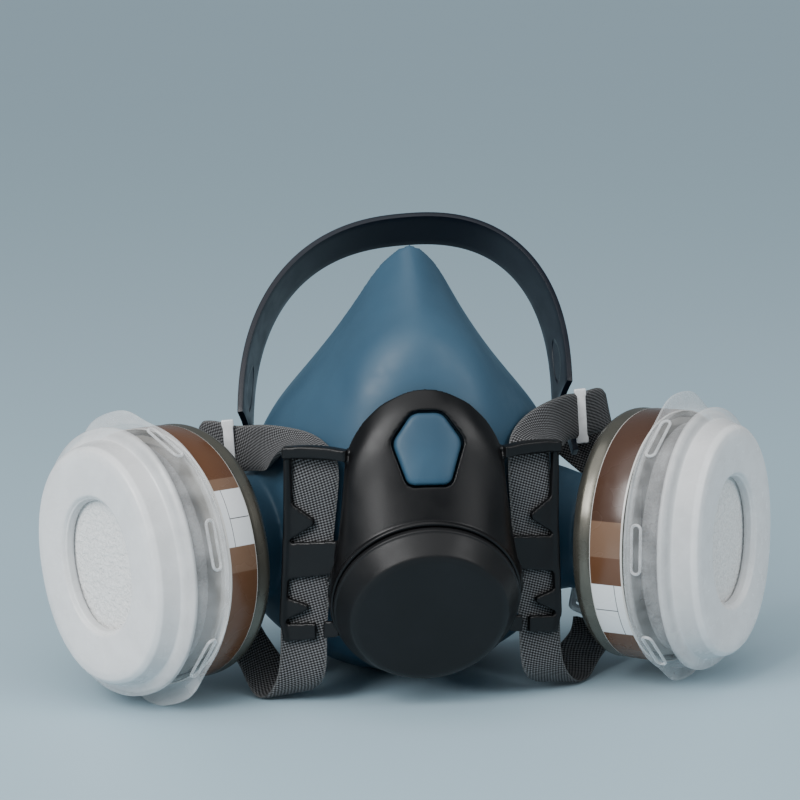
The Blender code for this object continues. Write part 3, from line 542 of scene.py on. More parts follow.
class Shader:
    """A Principled material with its node tree; lengths in its textures are in mm."""

    def __init__(self, name, colour, roughness, **inputs):
        self.material = bpy.data.materials.new(name)
        self.material.use_nodes = True
        self.tree = self.material.node_tree
        self.surface = self.tree.nodes["Principled BSDF"]
        self.set("Base Color", (*colour, 1))
        self.set("Roughness", roughness)
        for key, value in inputs.items():
            self.set(key.replace("_", " "), value)
        self.material.diffuse_color = (*colour, 1)
        where = self.tree.nodes.new("ShaderNodeTexCoord").outputs["Object"]
        self.place = self.node("ShaderNodeVectorMath", "Vector", (where,), operation="SCALE", Scale=1 / MM)

    def fill(self, socket, value):
        """Links an input to another node's output, or gives it a value."""
        if isinstance(value, bpy.types.NodeSocket):
            self.tree.links.new(value, socket)
        elif value is not None:
            socket.default_value = value

    def set(self, key, value):
        self.fill(self.surface.inputs[key], value)

    def node(self, kind, output, links=(), **settings):
        """Adds a node, fills its first inputs with links, and returns the named output."""
        node = self.tree.nodes.new(kind)
        for key, value in settings.items():
            if key in node.inputs:
                self.fill(node.inputs[key], value)
            else:
                setattr(node, key, value)
        for index, value in enumerate(links):
            self.fill(node.inputs[index], value)
        return node.outputs[output]

    def noise(self, size, detail, place=None):
        """Noise from 0 to 1 with features of this size."""
        return self.node("ShaderNodeTexNoise", "Fac", (place or self.place,), Scale=1 / size, Detail=detail)

    def math(self, operation, *values):
        return self.node("ShaderNodeMath", "Value", values, operation=operation)

    def total(self, first, *others):
        for other in others:
            first = self.math("ADD", first, other)
        return first

    def facing(self, blend, low, high, most):
        """0 where the surface is seen straight on, up to most where it is seen at a slant."""
        weight = self.node("ShaderNodeLayerWeight", "Facing", Blend=blend)
        return self.ramp(weight, low, high, 0, most)

    def ramp(self, value, low, high, to_low=0.0, to_high=1.0):
        """The value taken from one range to another, smoothly and clamped."""
        return self.node(
            "ShaderNodeMapRange", "Result", (value, low, high, to_low, to_high),
            interpolation_type="SMOOTHSTEP",
        )

    def mix(self, share, first, second):
        colours = (c if isinstance(c, bpy.types.NodeSocket) else (*c, 1) for c in (first, second))
        return self.node("ShaderNodeMix", 2, (share, *[None] * 5, *colours), data_type="RGBA")

    def sheen(self, size, detail, low, high):
        """Roughness that wanders between two values in patches of this size."""
        patches = self.ramp(self.noise(size, detail), 0.3, 0.7, low, high)
        self.set("Roughness", patches)
        return patches

    def bump(self, height, depth, normal=None):
        """Surface relief from a height between 0 and 1 that stands depth mm."""
        relief = self.node("ShaderNodeBump", "Normal", Distance=depth * MM, Height=height, Normal=normal)
        self.set("Normal", relief)
        return relief

    def along(self, origin, axis):
        """Distance in mm from origin along a direction."""
        ends = (self.place, tuple(origin))
        offset = self.node("ShaderNodeVectorMath", "Vector", ends, operation="SUBTRACT")
        return self.node("ShaderNodeVectorMath", "Value", (offset, tuple(axis)), operation="DOT_PRODUCT")

    def between(self, value, low, high, soft=0.08):
        """1 where the value lies between low and high, else 0."""
        above = self.ramp(value, low - soft, low + soft)
        below = self.ramp(value, high - soft, high + soft, 1, 0)
        return self.math("MULTIPLY", above, below)

    def uv(self):
        """Coordinates in mm stored with the mesh."""
        return self.node("ShaderNodeUVMap", "UV", uv_map="mm")

    def vary(self, colour, size, share, other=(0, 0, 0)):
        """The colour with soft patches of another, up to this share."""
        patches = self.ramp(self.noise(size, 3), 0.35, 0.75, 0, share)
        return self.mix(patches, colour, other)


def silicone(name, colour, pale):
    """Matt moulded silicone: a fine grain, a faint bloom, and a painted rim light that makes it paler where
    the surface turns away.
    """
    shader = Shader(name, colour, 0.5, IOR=1.42)
    # Painted rim light: the colour turns pale towards the outline, where the surface is seen at a slant
    edge = shader.facing(0.32, 0.55, 1.0, 0.55)
    shader.set("Base Color", shader.mix(edge, shader.vary(colour, 38, 0.22, pale), pale))
    shader.sheen(9, 3, 0.44, 0.56)
    shader.bump(shader.noise(0.35, 2), 0.02, shader.bump(shader.noise(16, 2), 0.12))
    return shader.material


def black_plastic(name, colour, roughness, grain_size=0.3, grain_depth=0.02):
    """Spark-eroded moulded plastic: fine grain, slight scuffs and uneven sheen."""
    shader = Shader(name, colour, roughness, IOR=1.5, Specular_IOR_Level=0.26)
    shader.set("Base Color", shader.vary(colour, 14, 0.5, tuple(c * 1.7 for c in colour)))
    scuffs = shader.ramp(shader.noise(1.1, 4), 0.66, 0.8, 0, 0.07)
    shader.set("Roughness", shader.total(shader.sheen(11, 4, roughness - 0.05, roughness + 0.06), scuffs))
    shader.bump(shader.noise(grain_size, 1), grain_depth)
    return shader.material


def frosted_plastic(name, colour, alpha):
    """Translucent polypropylene: milky, clearer when seen straight on, with faint flow marks."""
    shader = Shader(name, colour, 0.3, IOR=1.49)
    flow = shader.ramp(shader.noise(7, 3), 0.3, 0.7, -0.12, 0.12)
    opacity = shader.total(shader.facing(0.35, 0.15, 0.9, 1 - alpha), flow, alpha)
    shader.set("Alpha", shader.math("MINIMUM", shader.math("MAXIMUM", opacity, 0.0), 1.0))
    shader.sheen(5, 3, 0.24, 0.38)
    shader.bump(shader.noise(6, 2), 0.06)
    return shader.material


def side_axes(side):
    """Centre and axes of a cartridge in mm: across, up and along."""
    matrix = cartridge_matrix(side)
    flip = np.array((1 if side == "right" else -1, 1, 1))
    across, up, along = (np.array(matrix.col[i][:3]) * flip for i in range(3))
    return np.array(matrix.translation) / MM * flip, across, up, along


def flange_height(shader, side):
    """Height in mm over the flange of this side's retainer."""
    centre, *_, along = side_axes(side)
    return shader.along(centre, along)


def retainer_plastic(side):
    """The retainer: clear on its skirt and flange, milky over the filter pad, with painted shade on the cap
    wall and under the bead.
    """
    pale, shaded_wall = (0.86, 0.865, 0.87), (0.56, 0.565, 0.57)
    shader = Shader("retainer_plastic_" + side, pale, 0.24, IOR=1.49)
    height = flange_height(shader, side)
    bead, shoulder = shader.ramp(height, 9.0, 9.8, 0.1, 0.42), shader.ramp(height, 12.0, 13.0, 0, 0.36)
    flange = shader.ramp(height, 0.8, 1.6, 0.18, 0)
    # Painted shade: the cap wall and the skirt just under the bead are darkened towards the grey shaded_wall
    # colour
    painted_wall_shade = shader.total(shader.between(height, 12.9, 18.6, 0.5), shader.between(height, 8.2, 9.8, 0.3))
    shader.set("Base Color", shader.mix(shader.math("MULTIPLY", painted_wall_shade, 0.6), pale, shaded_wall))
    flow = shader.ramp(shader.noise(9, 3), 0.3, 0.7, -0.05, 0.05)
    opacity = shader.total(bead, shoulder, flange, shader.facing(0.3, 0.4, 1.0, 0.3), flow)
    shader.set("Alpha", shader.math("MINIMUM", opacity, 1.0))
    shader.sheen(6, 3, 0.18, 0.3)
    shader.bump(shader.noise(8, 2), 0.08)
    return shader.material


def felt(side):
    """White needle felt with matted fibres and small pits, grey where the skirt shades its edge."""
    shader = Shader("filter_felt_" + side, (0.8, 0.8, 0.79), 0.95, Sheen_Weight=0.2)
    fibre = shader.noise(0.7, 5)
    pits = shader.ramp(shader.noise(1.6, 3), 0.35, 0.6)
    white = shader.mix(shader.ramp(fibre, 0.3, 0.7), (0.7, 0.7, 0.69), (0.86, 0.86, 0.85))
    edge = shader.ramp(flange_height(shader, side), 7.5, 11.5, 1, 0)
    shader.set("Base Color", shader.mix(edge, white, (0.16, 0.16, 0.16)))
    shader.bump(pits, 0.25, shader.bump(fibre, 0.3))
    return shader.material


def housing_plastic():
    """Warm grey cartridge shell with a metallic lustre and faint flow marks."""
    shader = Shader("cartridge_shell", (0.12, 0.115, 0.095), 0.26, Metallic=0.7)
    colour = shader.mix(shader.ramp(shader.noise(22, 3), 0.3, 0.7), (0.1, 0.095, 0.078), (0.15, 0.142, 0.118))
    shader.set("Base Color", colour)
    shader.sheen(14, 3, 0.2, 0.3)
    shader.bump(shader.noise(9, 2), 0.05)
    return shader.material


def label_paper(side, panels, lines):
    """Varnished label: brown, with panels of other colours up the side and thin rules, no text."""
    brown, tan, ink = (0.105, 0.045, 0.021), (0.17, 0.1, 0.064), (0.03, 0.03, 0.03)
    colours = {"tan": tan, "white": (0.72, 0.73, 0.74), "dark": (0.06, 0.029, 0.018)}
    shader = Shader("label_paper_" + side, brown, 0.25, IOR=1.5)
    centre, across, up, along = side_axes(side)
    height, rise = shader.along(centre, along), shader.along(centre, up)
    near = shader.ramp(shader.along(centre, across), -0.2, 0.2, 1, 0)
    colour = shader.vary(brown, 30, 0.1, tan)
    for kind, low, high in panels:
        inside = shader.math("MULTIPLY", shader.between(rise, low, high), near)
        colour = shader.mix(inside, colour, colours[kind])
    for low, high, bottom, top in lines:
        tall, long = shader.between(rise, low, high, 0.05), shader.between(height, bottom, top, 0.05)
        rule = shader.math("MULTIPLY", tall, long)
        colour = shader.mix(shader.math("MULTIPLY", rule, near), colour, ink)
    border = shader.total(shader.ramp(height, -1.9, -1.75), shader.ramp(height, -13.6, -13.45, 1, 0))
    shader.set("Base Color", shader.mix(border, colour, (0.6, 0.58, 0.55)))
    shader.sheen(12, 2, 0.22, 0.3)
    shader.bump(shader.noise(9, 2), 0.05)
    return shader.material


def webbing():
    """Elastic webbing: slanted rows of pale yarn loops over a dark ground, paler selvedges."""
    shader = Shader("webbing", (0.1, 0.1, 0.103), 0.85, Specular_IOR_Level=0.3)
    across, along = (shader.node("ShaderNodeSeparateXYZ", axis, (shader.uv(),)) for axis in "XY")

    def wave(x_pitch, y_pitch, strength):
        """Slanted ridges with this pitch across and along the band."""
        phases = (
            shader.math("MULTIPLY", place, 2 * math.pi / pitch)
            for place, pitch in ((across, x_pitch), (along, y_pitch))
        )
        return shader.math("MULTIPLY", shader.math("SINE", shader.total(*phases)), strength)

    weave = shader.total(wave(2.6, 0.95, 0.5), wave(1.15, -3.4, 0.4))
    fibre = shader.noise(0.22, 3, shader.uv())
    lit = shader.ramp(shader.total(weave, fibre), 0.1, 1.15)
    colour = shader.mix(lit, (0.006, 0.006, 0.0065), (0.16, 0.16, 0.165))
    half = STRAP_WIDTH / 2
    edge = shader.ramp(shader.math("ABSOLUTE", across), half - 0.9, half - 0.4, 0, 0.5)
    shader.set("Base Color", shader.mix(edge, colour, (0.13, 0.128, 0.126)))
    shader.bump(fibre, 0.05, shader.bump(shader.ramp(weave, -0.9, 0.9), 0.22))
    return shader.material


def cradle_plastic():
    """Bendable navy plastic, paler blue where light grazes its edges."""
    colour, patches, edge_colour = (0.0025, 0.0045, 0.01), (0.006, 0.01, 0.018), (0.015, 0.045, 0.1)
    shader = Shader("cradle_plastic", colour, 0.42, Specular_IOR_Level=0.3)
    facing = shader.facing(0.4, 0.5, 1.0, 0.8)
    shader.set("Base Color", shader.mix(facing, shader.vary(colour, 30, 0.5, patches), edge_colour))
    shader.sheen(8, 4, 0.28, 0.4)
    squares = []
    for column, middle, half in ((1, CRADLE_FOOT + 12, 8.5), (2, 0, 3.2)):
        place = shader.along(CRADLE_CENTRE, cradle_matrix().col[column][:3])
        share = shader.math("DIVIDE", shader.math("SUBTRACT", place, middle), half)
        squares.append(shader.math("POWER", share, 2))
    dimple = shader.ramp(shader.total(*squares), 0.75, 1.15)
    shader.bump(dimple, 0.8, shader.bump(shader.noise(0.4, 2), 0.015))
    return shader.material


def soft_rubber(name, colour):
    shader = Shader(name, colour, 0.55)
    shader.set("Base Color", shader.vary(colour, 6, 0.4, tuple(c * 0.6 for c in colour)))
    shader.bump(shader.noise(0.5, 3), 0.02)
    return shader.material


def granules():
    """Packed activated carbon, with painted shade in the gaps between granules."""
    shader = Shader("carbon_granules", (0.012, 0.012, 0.013), 0.7)
    cells = shader.node("ShaderNodeTexVoronoi", "Distance", (shader.place,), Scale=1.0)
    # Painted shade: each granule darkens towards the edge of its cell, so the gaps between granules are dark
    shader.set("Base Color", shader.mix(cells, (0.05, 0.05, 0.05), (0.006, 0.006, 0.006)))
    shader.bump(shader.ramp(cells, 0, 0.8, 1, 0), 0.6)
    return shader.material


# Facepiece


def both_sides(stations, count):
    """A closed loop of rows through stations on the right and their mirror images."""
    right = np.array(stations)
    right[[0, -1], :, 0] = 0
    return spline(np.concatenate((right, right[-2:0:-1] * (-1, 1, 1))), count, closed=True)


def face_skin():
    """Rows of points from the inner sealing lip, round the rim and over the wall to the valve hole."""
    stations = []
    last = len(FACE_STATIONS) - 1
    for index, station in enumerate(FACE_STATIONS):
        rim, wall, front = (np.array(p, float) for p in station)
        middle = np.array((0, rim[1], LIP_CENTRE_Z))
        lip = middle + (rim - middle) * LIP_INNER - (0, 7, 0)
        fold = middle + (rim - middle) * LIP_MIDDLE + (0, 1.2, 0)
        hole = exhale_point(90 - 180 * index / last, EXHALE_BORE, -5.6)
        stations.append((lip, fold, rim, wall, front, hole))
    keys = both_sides(stations, 260).transpose(1, 0, 2)
    lip_side, outside = spline(keys[:3], 22), spline(keys[2:], 90)
    return np.concatenate((lip_side[:-1], outside))


def make_facepiece(material):
    rows = face_skin()
    faces = grid_faces(len(rows), rows.shape[1], False, True)
    skin = new_mesh("skin", rows.reshape(-1, 3), faces)
    modified(skin, "SOLIDIFY", thickness=FACE_WALL * MM, offset=-1)
    shells = [skin]
    tube = (
        (20.5, -27), (20.5, -38), (22.8, -47), (21.2, -55), (18, -55), (18, -30), (15.2, -30), (15.2, -27),
    )
    for side in ("right", "left"):
        bore = turned("bore", ((0, -64), (18.2, -64), (18.2, -20), (0, -20)), port_matrix(), 0.1, 48)
        boss = turned("boss", tube, port_matrix(), 1.4, 72)
        if side == "left":
            bore, boss = swapped(bore), swapped(boss)
        boolean(skin, bore)
        shells.append(boss)
    face = melted("silicone_facepiece", shells, 0.75, 9)
    dress(face, material, "mask", "facepiece", slot="silicone")


# Yoke, badge and exhalation valve


def yoke_skin():
    """Rows of points from the yoke's outline over the dome to the collar's lip."""
    stations = []
    for angle, outline, rise in YOKE_STATIONS:
        edge = np.array(outline, float)
        base = exhale_point(angle, COLLAR_RADIUS + 0.6, -rise)
        ahead = edge * 0.86 + base * 0.14 + (0, -2.2, 0)
        middle = (edge + base) / 2 + (0, -1.5, 0.6)
        stations.append((edge, ahead, middle, base))
    for angle in COLLAR_STATIONS:
        depths = (COLLAR_DEPTH * share for share in (1, 0.8, 0.6, 0.4))
        stations.append([exhale_point(angle, COLLAR_RADIUS, -depth) for depth in depths])
    loop = both_sides(stations, 240)
    dome = spline(loop.transpose(1, 0, 2), 40)
    angles = collar_angles(loop[:, -1])
    lip = ((COLLAR_RADIUS, -1.2), (COLLAR_RADIUS - 0.4, 0), (COLLAR_RADIUS - COLLAR_LIP, 0))
    return np.concatenate((dome, [[exhale_point(a, *place) for a in angles] for place in lip]))


def collar_angles(points):
    """The angle round the exhalation axis of each point."""
    inverse = np.array(exhale_matrix().inverted())
    local = points * MM @ inverse[:3, :3].T + inverse[:3, 3]
    return np.degrees(np.arctan2(local[:, 1], local[:, 0]))


def badge_outline(margin):
    outline = np.array(BADGE_OUTLINE, float)
    outline *= 1 + margin / np.linalg.norm(outline, axis=1)[:, None]
    return filleted(outline, 2.6, 6, closed=True)


def bowed(rows):
    """Rows of badge points bent back towards both sides, as the dome is."""
    rows = np.array(rows, float)
    rows[..., 2] -= BADGE_BOW * rows[..., 0] ** 2
    return rows


def make_wing(matrix):
    """Strap frame on the right: crossbar, two windows with a retaining hook each."""
    half = WING_PLATE / 2
    wing = prism("wing", filleted(WING_OUTLINE, 1.2, 3, closed=True), -half, half)
    for outline in (UPPER_WINDOW, LOWER_WINDOW):
        boolean(wing, prism("window", filleted(outline, 0.7, 3, closed=True), -4, 4))
    left, right, low, high = CROSSBAR
    span = right - left
    arch = [(left + span * t, low + 0.9 * math.sin(math.pi * t)) for t in np.linspace(0, 1, 9)]
    bar = arch + [(x, y + high - low) for x, y in reversed(arch)]
    boolean(wing, prism("bar", bar, -half + 0.1, CROSSBAR_PLATE - half), "UNION")
    rail = ((22.6, 24), (24.6, 30), (22.9, 62), (22.6, 88), (21, 88), (21.1, 62), (22.8, 30), (21.4, 24))
    boolean(wing, prism("rail", filleted(rail, 1, 3, closed=True), -half - 1.2, half + 0.5), "UNION")
    wing.data.transform(matrix)
    return wing


def make_yoke(material):
    rows = yoke_skin()
    dome = new_mesh("dome", rows.reshape(-1, 3), grid_faces(len(rows), rows.shape[1], False, True))
    modified(dome, "SOLIDIFY", thickness=YOKE_WALL * MM, offset=-1)
    window = bowed([level(badge_outline(0.9), height) for height in (-6, 6)])
    boolean(dome, lofted("window", window, badge_matrix(), closed_profile=False))
    wing = make_wing(wing_matrix())
    yoke = melted("yoke_frame", [dome, mirrored(wing, "wing_left"), wing], 0.5, 2)
    dress(yoke, material, "mask", "yoke", slot="yoke_plastic")
    ring = (
        (COLLAR_RADIUS - COLLAR_LIP, -7), (COLLAR_RADIUS - 0.6, -7), (COLLAR_RADIUS - 0.1, -2.4),
        (COLLAR_RADIUS + 0.2, -0.9), (COLLAR_RADIUS - 0.1, 0.1), (COLLAR_RADIUS - 0.7, 0.3),
        (COLLAR_RADIUS - 1.2, 0.1), (COLLAR_RADIUS - COLLAR_LIP, 0.1),
    )
    collar = turned("yoke_collar", ring, exhale_matrix(), 0.3, 160)
    dress(collar, material, "mask", slot="yoke_plastic")


def make_badge(material):
    outline = badge_outline(0)
    rows = [level(outline * (1 - inset / 12), height) for inset, height in BADGE_ROWS]
    badge = lofted("blue_badge", bowed(rows), badge_matrix(), closed_profile=False, sharp=60)
    dress(badge, material, "mask", "badge", slot="badge")


def make_exhalation(cover_plastic, port_plastic, rubber):
    matrix = exhale_matrix()
    inner, face, top = COVER_RADIUS - 1.8, COVER_FACE_RADIUS, COVER_HEIGHT
    shell = (
        (0, top - 0.15), (face - 4, top), (face - 0.4, top), (26.4, top - 0.7), (27.2, top - 1.8),
        (30.9, 3.1), (COVER_RADIUS, 2.6), (COVER_RADIUS, 0.7), (inner, 0.7), (29, 3), (25.6, top - 3),
        (face - 1, top - 2), (0, top - 2),
    )
    cover = turned("valve_cover", shell, matrix, 0.7, 160)
    dress(cover, cover_plastic, "exhalation_cover", "exhalation_cover", slot="valve_cover")
    seat = (
        (11.6, -9.5), (13.9, -9.5), (13.9, -3.2), (27.6, -3.2), (27.6, -1.4), (17.5, -1.4), (16.6, -0.9),
        (15.6, -1.4), (11.6, -1.4),
    )
    ring = turned("valve_seat_ring", seat, matrix, 0.25)
    dress(ring, port_plastic, "mask", "exhalation_valve_seat", slot="port_plastic")
    for index in range(2):
        turn = matrix @ Matrix.Rotation(math.pi / 2 * index, 4, "Z")
        arm = filleted(((-12.2, -0.9), (12.2, -0.9), (12.2, 0.9), (-12.2, 0.9)), 0.4, 2, closed=True)
        spoke = prism(f"valve_seat_spoke_{index + 1}", arm, -3.2, -1.6, turn)
        dress(spoke, port_plastic, "mask", slot="port_plastic")
    flap = turned("valve_flap", ((0, 0.5), (5, 0.45), (17.6, 0.1), (17.6, -0.5), (0, -0.5)), matrix, 0.2)
    dress(flap, rubber, "exhalation_flap", "exhalation_flap", slot="valve_rubber")


# Cartridges


def oval_row(size, inset, height):
    return level(oval(size[0] - inset, size[1] - inset), height)


def socket_row(radius, height):
    """A circle round the bayonet axis, point for point with the cartridge outlines."""
    c, s = np.cos(OVAL_ANGLES), np.sin(OVAL_ANGLES)
    return np.column_stack((radius * c - CARTRIDGE_OFFSET, radius * s, np.full(OVAL_STEPS, height)))


def eased(rows, radius, steps=4, closed=True):
    """Rows of a profile with every ridge between them rounded."""
    ridges = [row.ravel() for row in rows]
    return filleted(ridges, radius * math.sqrt(OVAL_STEPS), steps, closed).reshape(-1, OVAL_STEPS, 3)


def make_housing(matrix):
    base, body = HOUSING_BASE, HOUSING_BODY
    rows = [
        oval_row(body, 0, -1), oval_row(body, 0, -HOUSING_SHOULDER), oval_row(base, 0.2, -18.6),
        oval_row(base, 1.8, -21.2), oval_row(base, 4.6, -HOUSING_DEPTH), socket_row(23.5, -HOUSING_DEPTH),
        socket_row(22.8, -22.7), socket_row(20.8, -22.7), socket_row(20.2, -HOUSING_DEPTH),
        socket_row(11, -HOUSING_DEPTH), socket_row(11, -20.4), oval_row(base, 5.4, -20.4),
        oval_row(base, 2.2, -18.6), oval_row(body, 1.5, -HOUSING_SHOULDER), oval_row(body, 1.5, -1),
    ]
    return lofted("cartridge_shell", eased(rows, 1.1), matrix, sharp=60)


def make_label(matrix):
    low, high = -HOUSING_SHOULDER + 0.8, -1.2
    corners = ((-0.1, high), (-0.5, high), (-0.5, low), (-0.1, low))
    rows = [oval_row(HOUSING_BODY, inset, height) for inset, height in corners]
    return lofted("cartridge_band", eased(rows, 0.15, 2), matrix)


def retainer_row(across, up, height, tab=0.0, lean=0.0):
    return level(oval(FLANGE[0] - across, FLANGE[1] - up, tab, lean), height)


def make_retainer(matrix, lean):
    """Frosted cap: flange with two tabs, clear skirt, bead, shoulder, face with an opening."""
    wall = RETAINER_WALL
    outer = [retainer_row(*RETAINER_ROWS[0], TAB_HEIGHT, lean)]
    outer += [retainer_row(*row) for row in RETAINER_ROWS[1:]]
    inner = [retainer_row(a + wall, u + wall, h - wall) for a, u, h in RETAINER_ROWS[2:-1]]
    ledge = RETAINER_ROWS[-1]
    inner.append(retainer_row(ledge[0] - 0.6, ledge[1] - 0.6, ledge[2] - wall))
    under = [retainer_row(1.4 + wall, 0.8 + wall, -0.1), retainer_row(0, 0, -0.1, TAB_HEIGHT, lean)]
    return lofted("retainer_cap", eased(outer + inner[::-1] + under, 0.7), matrix, sharp=60)


def snap_frames(matrix):
    """Raised rims of the snap windows in the skirt, one ring each."""
    rings = []
    for number, degrees in enumerate((0, 52, 128, 180, 232, 308)):
        angle = math.radians(degrees)
        across, up, power = FLANGE[0] - 3, FLANGE[1] - 1.2, OVAL_POWER
        c, s = math.cos(angle), math.sin(angle)
        x = math.copysign(abs(c) ** (2 / power), c)
        y = math.copysign(abs(s) ** (2 / power), s)
        out = Vector((math.copysign(abs(x) ** (power - 1), x) / across,
                      math.copysign(abs(y) ** (power - 1), y) / up, 0)).normalized()
        along = Vector((0, 0, 1)).cross(out)
        local = frame_matrix((x * across, y * up, 3.2), along, (0, 0, 1), out)
        path = stadium(8.4, 1.7, 40)
        rings.append(tube_loop(f"snap_rim_{number + 1}", path, 0.5, matrix @ local))
    return rings


def stadium(half_length, radius, count):
    """A loop of two straights joined by half circles, in the local XY plane."""
    turn = np.linspace(0, 2 * np.pi, count, endpoint=False)
    shift = np.where(np.cos(turn) >= 0, 1, -1) * (half_length - radius)
    return np.column_stack((np.cos(turn) * radius + shift, np.sin(turn) * radius, np.zeros(count)))


def tube_loop(name, path, radius, matrix, sides=10):
    """A round wire along a closed flat path."""
    path = np.array(path, float)
    side = np.cross(unit(np.roll(path, -1, 0) - np.roll(path, 1, 0)), (0, 0, 1))
    points = []
    for turn in np.linspace(0, 2 * np.pi, sides, endpoint=False):
        points.append(path + side * math.cos(turn) * radius + np.array((0, 0, math.sin(turn) * radius)))
    rows = np.array(points)
    return new_mesh(name, rows.reshape(-1, 3), grid_faces(sides, len(path), True, True), matrix, sharp=80)


def make_filter(matrix):
    """Felt pad, flat at its rim and crowned into the cap's opening."""
    rows = [level(oval(across, up), height) for across, up, height in FILTER_ROWS]
    return lofted("filter_pad", eased(rows, 2.5, 5, closed=False), matrix, closed_profile=False)


def make_port_parts():
    matrix = port_matrix()
    tube = (
        (10.5, -33.6), (12, -33.6), (12, -32.9), (17.2, -32.9), (17.2, -30.3), (14.9, -30.3), (14.9, -26.7),
        (19.4, -26.7), (19.4, -24.3), (10.5, -24.3),
    )
    port = turned("port_insert", tube, matrix, 0.3)
    gasket = turned("port_seal", ((12.5, -24), (18.5, -24), (18.5, -22.4), (12.5, -22.4)), matrix, 0.5)
    flap = turned("port_flap", ((0, -34), (13.2, -34.1), (13.2, -34.7), (0, -34.8)), matrix, 0.15)
    return port, gasket, flap


def make_side(side, materials):
    """Every piece of one cartridge, made on the right, swapped over for the left, and dressed."""
    matrix = cartridge_matrix(side)
    port, gasket, flap = make_port_parts()
    cartridge, retainer = "cartridge_" + side, "retainer_" + side
    pieces = [
        (port, "port", "mask", "inhalation_port", "port_plastic"),
        (gasket, "gasket", "mask", "port_gasket", "gasket"),
        (flap, "rubber", "inhalation_flap_" + side, "inhalation_flap", "valve_rubber"),
        (make_housing(matrix), "housing", cartridge, "cartridge_housing", "cartridge_plastic"),
        (make_label(matrix), "label_" + side, cartridge, "cartridge_label", "label"),
        (make_retainer(matrix, OVAL_LEAN[side]), retainer, retainer, "filter_retainer", "retainer_plastic"),
        (make_filter(matrix), "felt_" + side, retainer, "particulate_filter", "filter_media"),
    ]
    pieces += [(ring, "rim", retainer, None, "retainer_plastic") for ring in snap_frames(matrix)]
    for piece, material, body, node, slot in pieces:
        if side == "left":
            piece = swapped(piece)
        piece.name = piece.name.removesuffix("_swapped") + "_" + side
        nodes = (f"{node}_{side}",) if node else ()
        dress(piece, materials[material], body, *nodes, slot=slot)


# Harness


def cradle_arch(count):
    """Rows from the back edge of the band to its front edge, from foot to foot."""
    power = 2 / CRADLE_POWER
    rows = []
    for share in np.linspace(0, 1, count):
        c, s = math.cos(math.pi * share), math.sin(math.pi * share)
        row = []
        for depth in np.linspace(-0.5, 0.5, 7):
            inset = CRADLE_TAPER * (0.5 - depth)
            height = abs(s) ** power * (CRADLE_HEIGHT - inset)
            x = -math.copysign(abs(c) ** power, c) * (CRADLE_HALF_WIDTH - inset * abs(c))
            rise = CRADLE_FOOT + height * (1 - CRADLE_FOOT / CRADLE_HEIGHT)
            row.append((x + CRADLE_SKEW * height, rise, depth * CRADLE_BAND))
        rows.append(row)
    return rows


def cradle_leg(foot):
    """Rows from the tip of a leg up to the arch, narrowed from the front to clear the strap."""
    back = foot[0]
    side = math.copysign(1, back[0])
    keys = [foot]
    for step, rise, share in CRADLE_LEGS[int(side > 0)]:
        keys.append([(back[0] + side * step, rise, d * CRADLE_BAND) for d in np.linspace(-0.5, share, 7)])
    return spline(keys, 24)[:0:-1].tolist()


def make_cradle(material):
    arch = cradle_arch(200)
    rows = np.array(cradle_leg(arch[0]) + arch + cradle_leg(arch[-1])[::-1])
    band = new_mesh("cradle_band", rows.reshape(-1, 3), grid_faces(len(rows), 7))
    modified(band, "SOLIDIFY", thickness=CRADLE_WALL * MM, offset=-1)
    bevelled(band, 50)
    band.data.transform(cradle_matrix())
    dress(shaded(band, 40), material, "head_harness", "head_cradle", slot="cradle_plastic")


def make_clip(name, foot, material, node):
    width, depth, height = CLIP_SIZE
    half, end = width / 2, height / 2
    wide = half + 0.35
    upper = ((half, end - 2.8), (wide, end - 2.2), (wide, end))
    right = [(x, -y) for x, y in upper[::-1]] + list(upper)
    outline = [(-wide, -end), *right] + [(-x, y) for x, y in right[:0:-1]]
    across = JOINTS["head_cradle_swing"]["axis"]
    matrix = frame_matrix(foot, across, (-across[2], 0, across[0]), (0, -1, 0))
    clip = prism(name, filleted(outline, 0.5, 2, closed=True), 1.0, 1.0 + depth, matrix)
    dress(shaded(bevelled(clip, 60), 50), material, "head_harness", node, slot="clear_plastic")


def ribbon(name, stations, width, wall):
    """Webbing along stations of (centre, width direction), with rounded edges and uv in mm."""
    centres = np.array([s[0] for s in stations], float)
    sides = np.array([s[1] for s in stations], float)
    path = spline(np.stack((centres, centres + sides * 10), 1), 420)
    middle, side = path[:, 0], unit(path[:, 1] - path[:, 0])
    face = unit(np.cross(unit(np.gradient(middle, axis=0)), side))
    length = np.concatenate(([0], np.cumsum(np.linalg.norm(np.diff(middle, axis=0), axis=1))))
    across = np.linspace(-1, 1, 15)
    edge = np.sqrt(np.clip(1 - np.abs(across) ** 12, 0, 1))
    loop = [(a, e) for a, e in zip(across, edge)] + [(a, -e) for a, e in zip(across[-2:0:-1], edge[-2:0:-1])]
    rows, uv = [], []
    for a, e in loop:
        rows.append(middle + side * a * width / 2 + face * e * wall / 2)
        uv.append(np.column_stack((np.full(len(length), a * width / 2), length)))
    rows, uv = (np.array(table).transpose(1, 0, 2) for table in (rows, uv))
    return lofted(name, rows, closed_profile=False, uv=uv.reshape(-1, 2), sharp=50)


def make_strap(side, stations, material):
    """One length of webbing; it bends where it runs into the cradle's clip."""
    strap = ribbon("webbing_" + side, stations, STRAP_WIDTH, STRAP_WALL)
    strap.data.materials.append(material)
    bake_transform(strap)
    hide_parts("strap_" + side, "strap_tail_" + side)


def buckle_matrix(stations):
    end, before = (np.array(stations[i][0], float) for i in (0, 1))
    run = (end - before) / np.linalg.norm(end - before)
    side = np.array(stations[0][1], float)
    side -= run * side.dot(run)
    side /= np.linalg.norm(side)
    return frame_matrix(end + run * 1.6, side, run, np.cross(side, run))


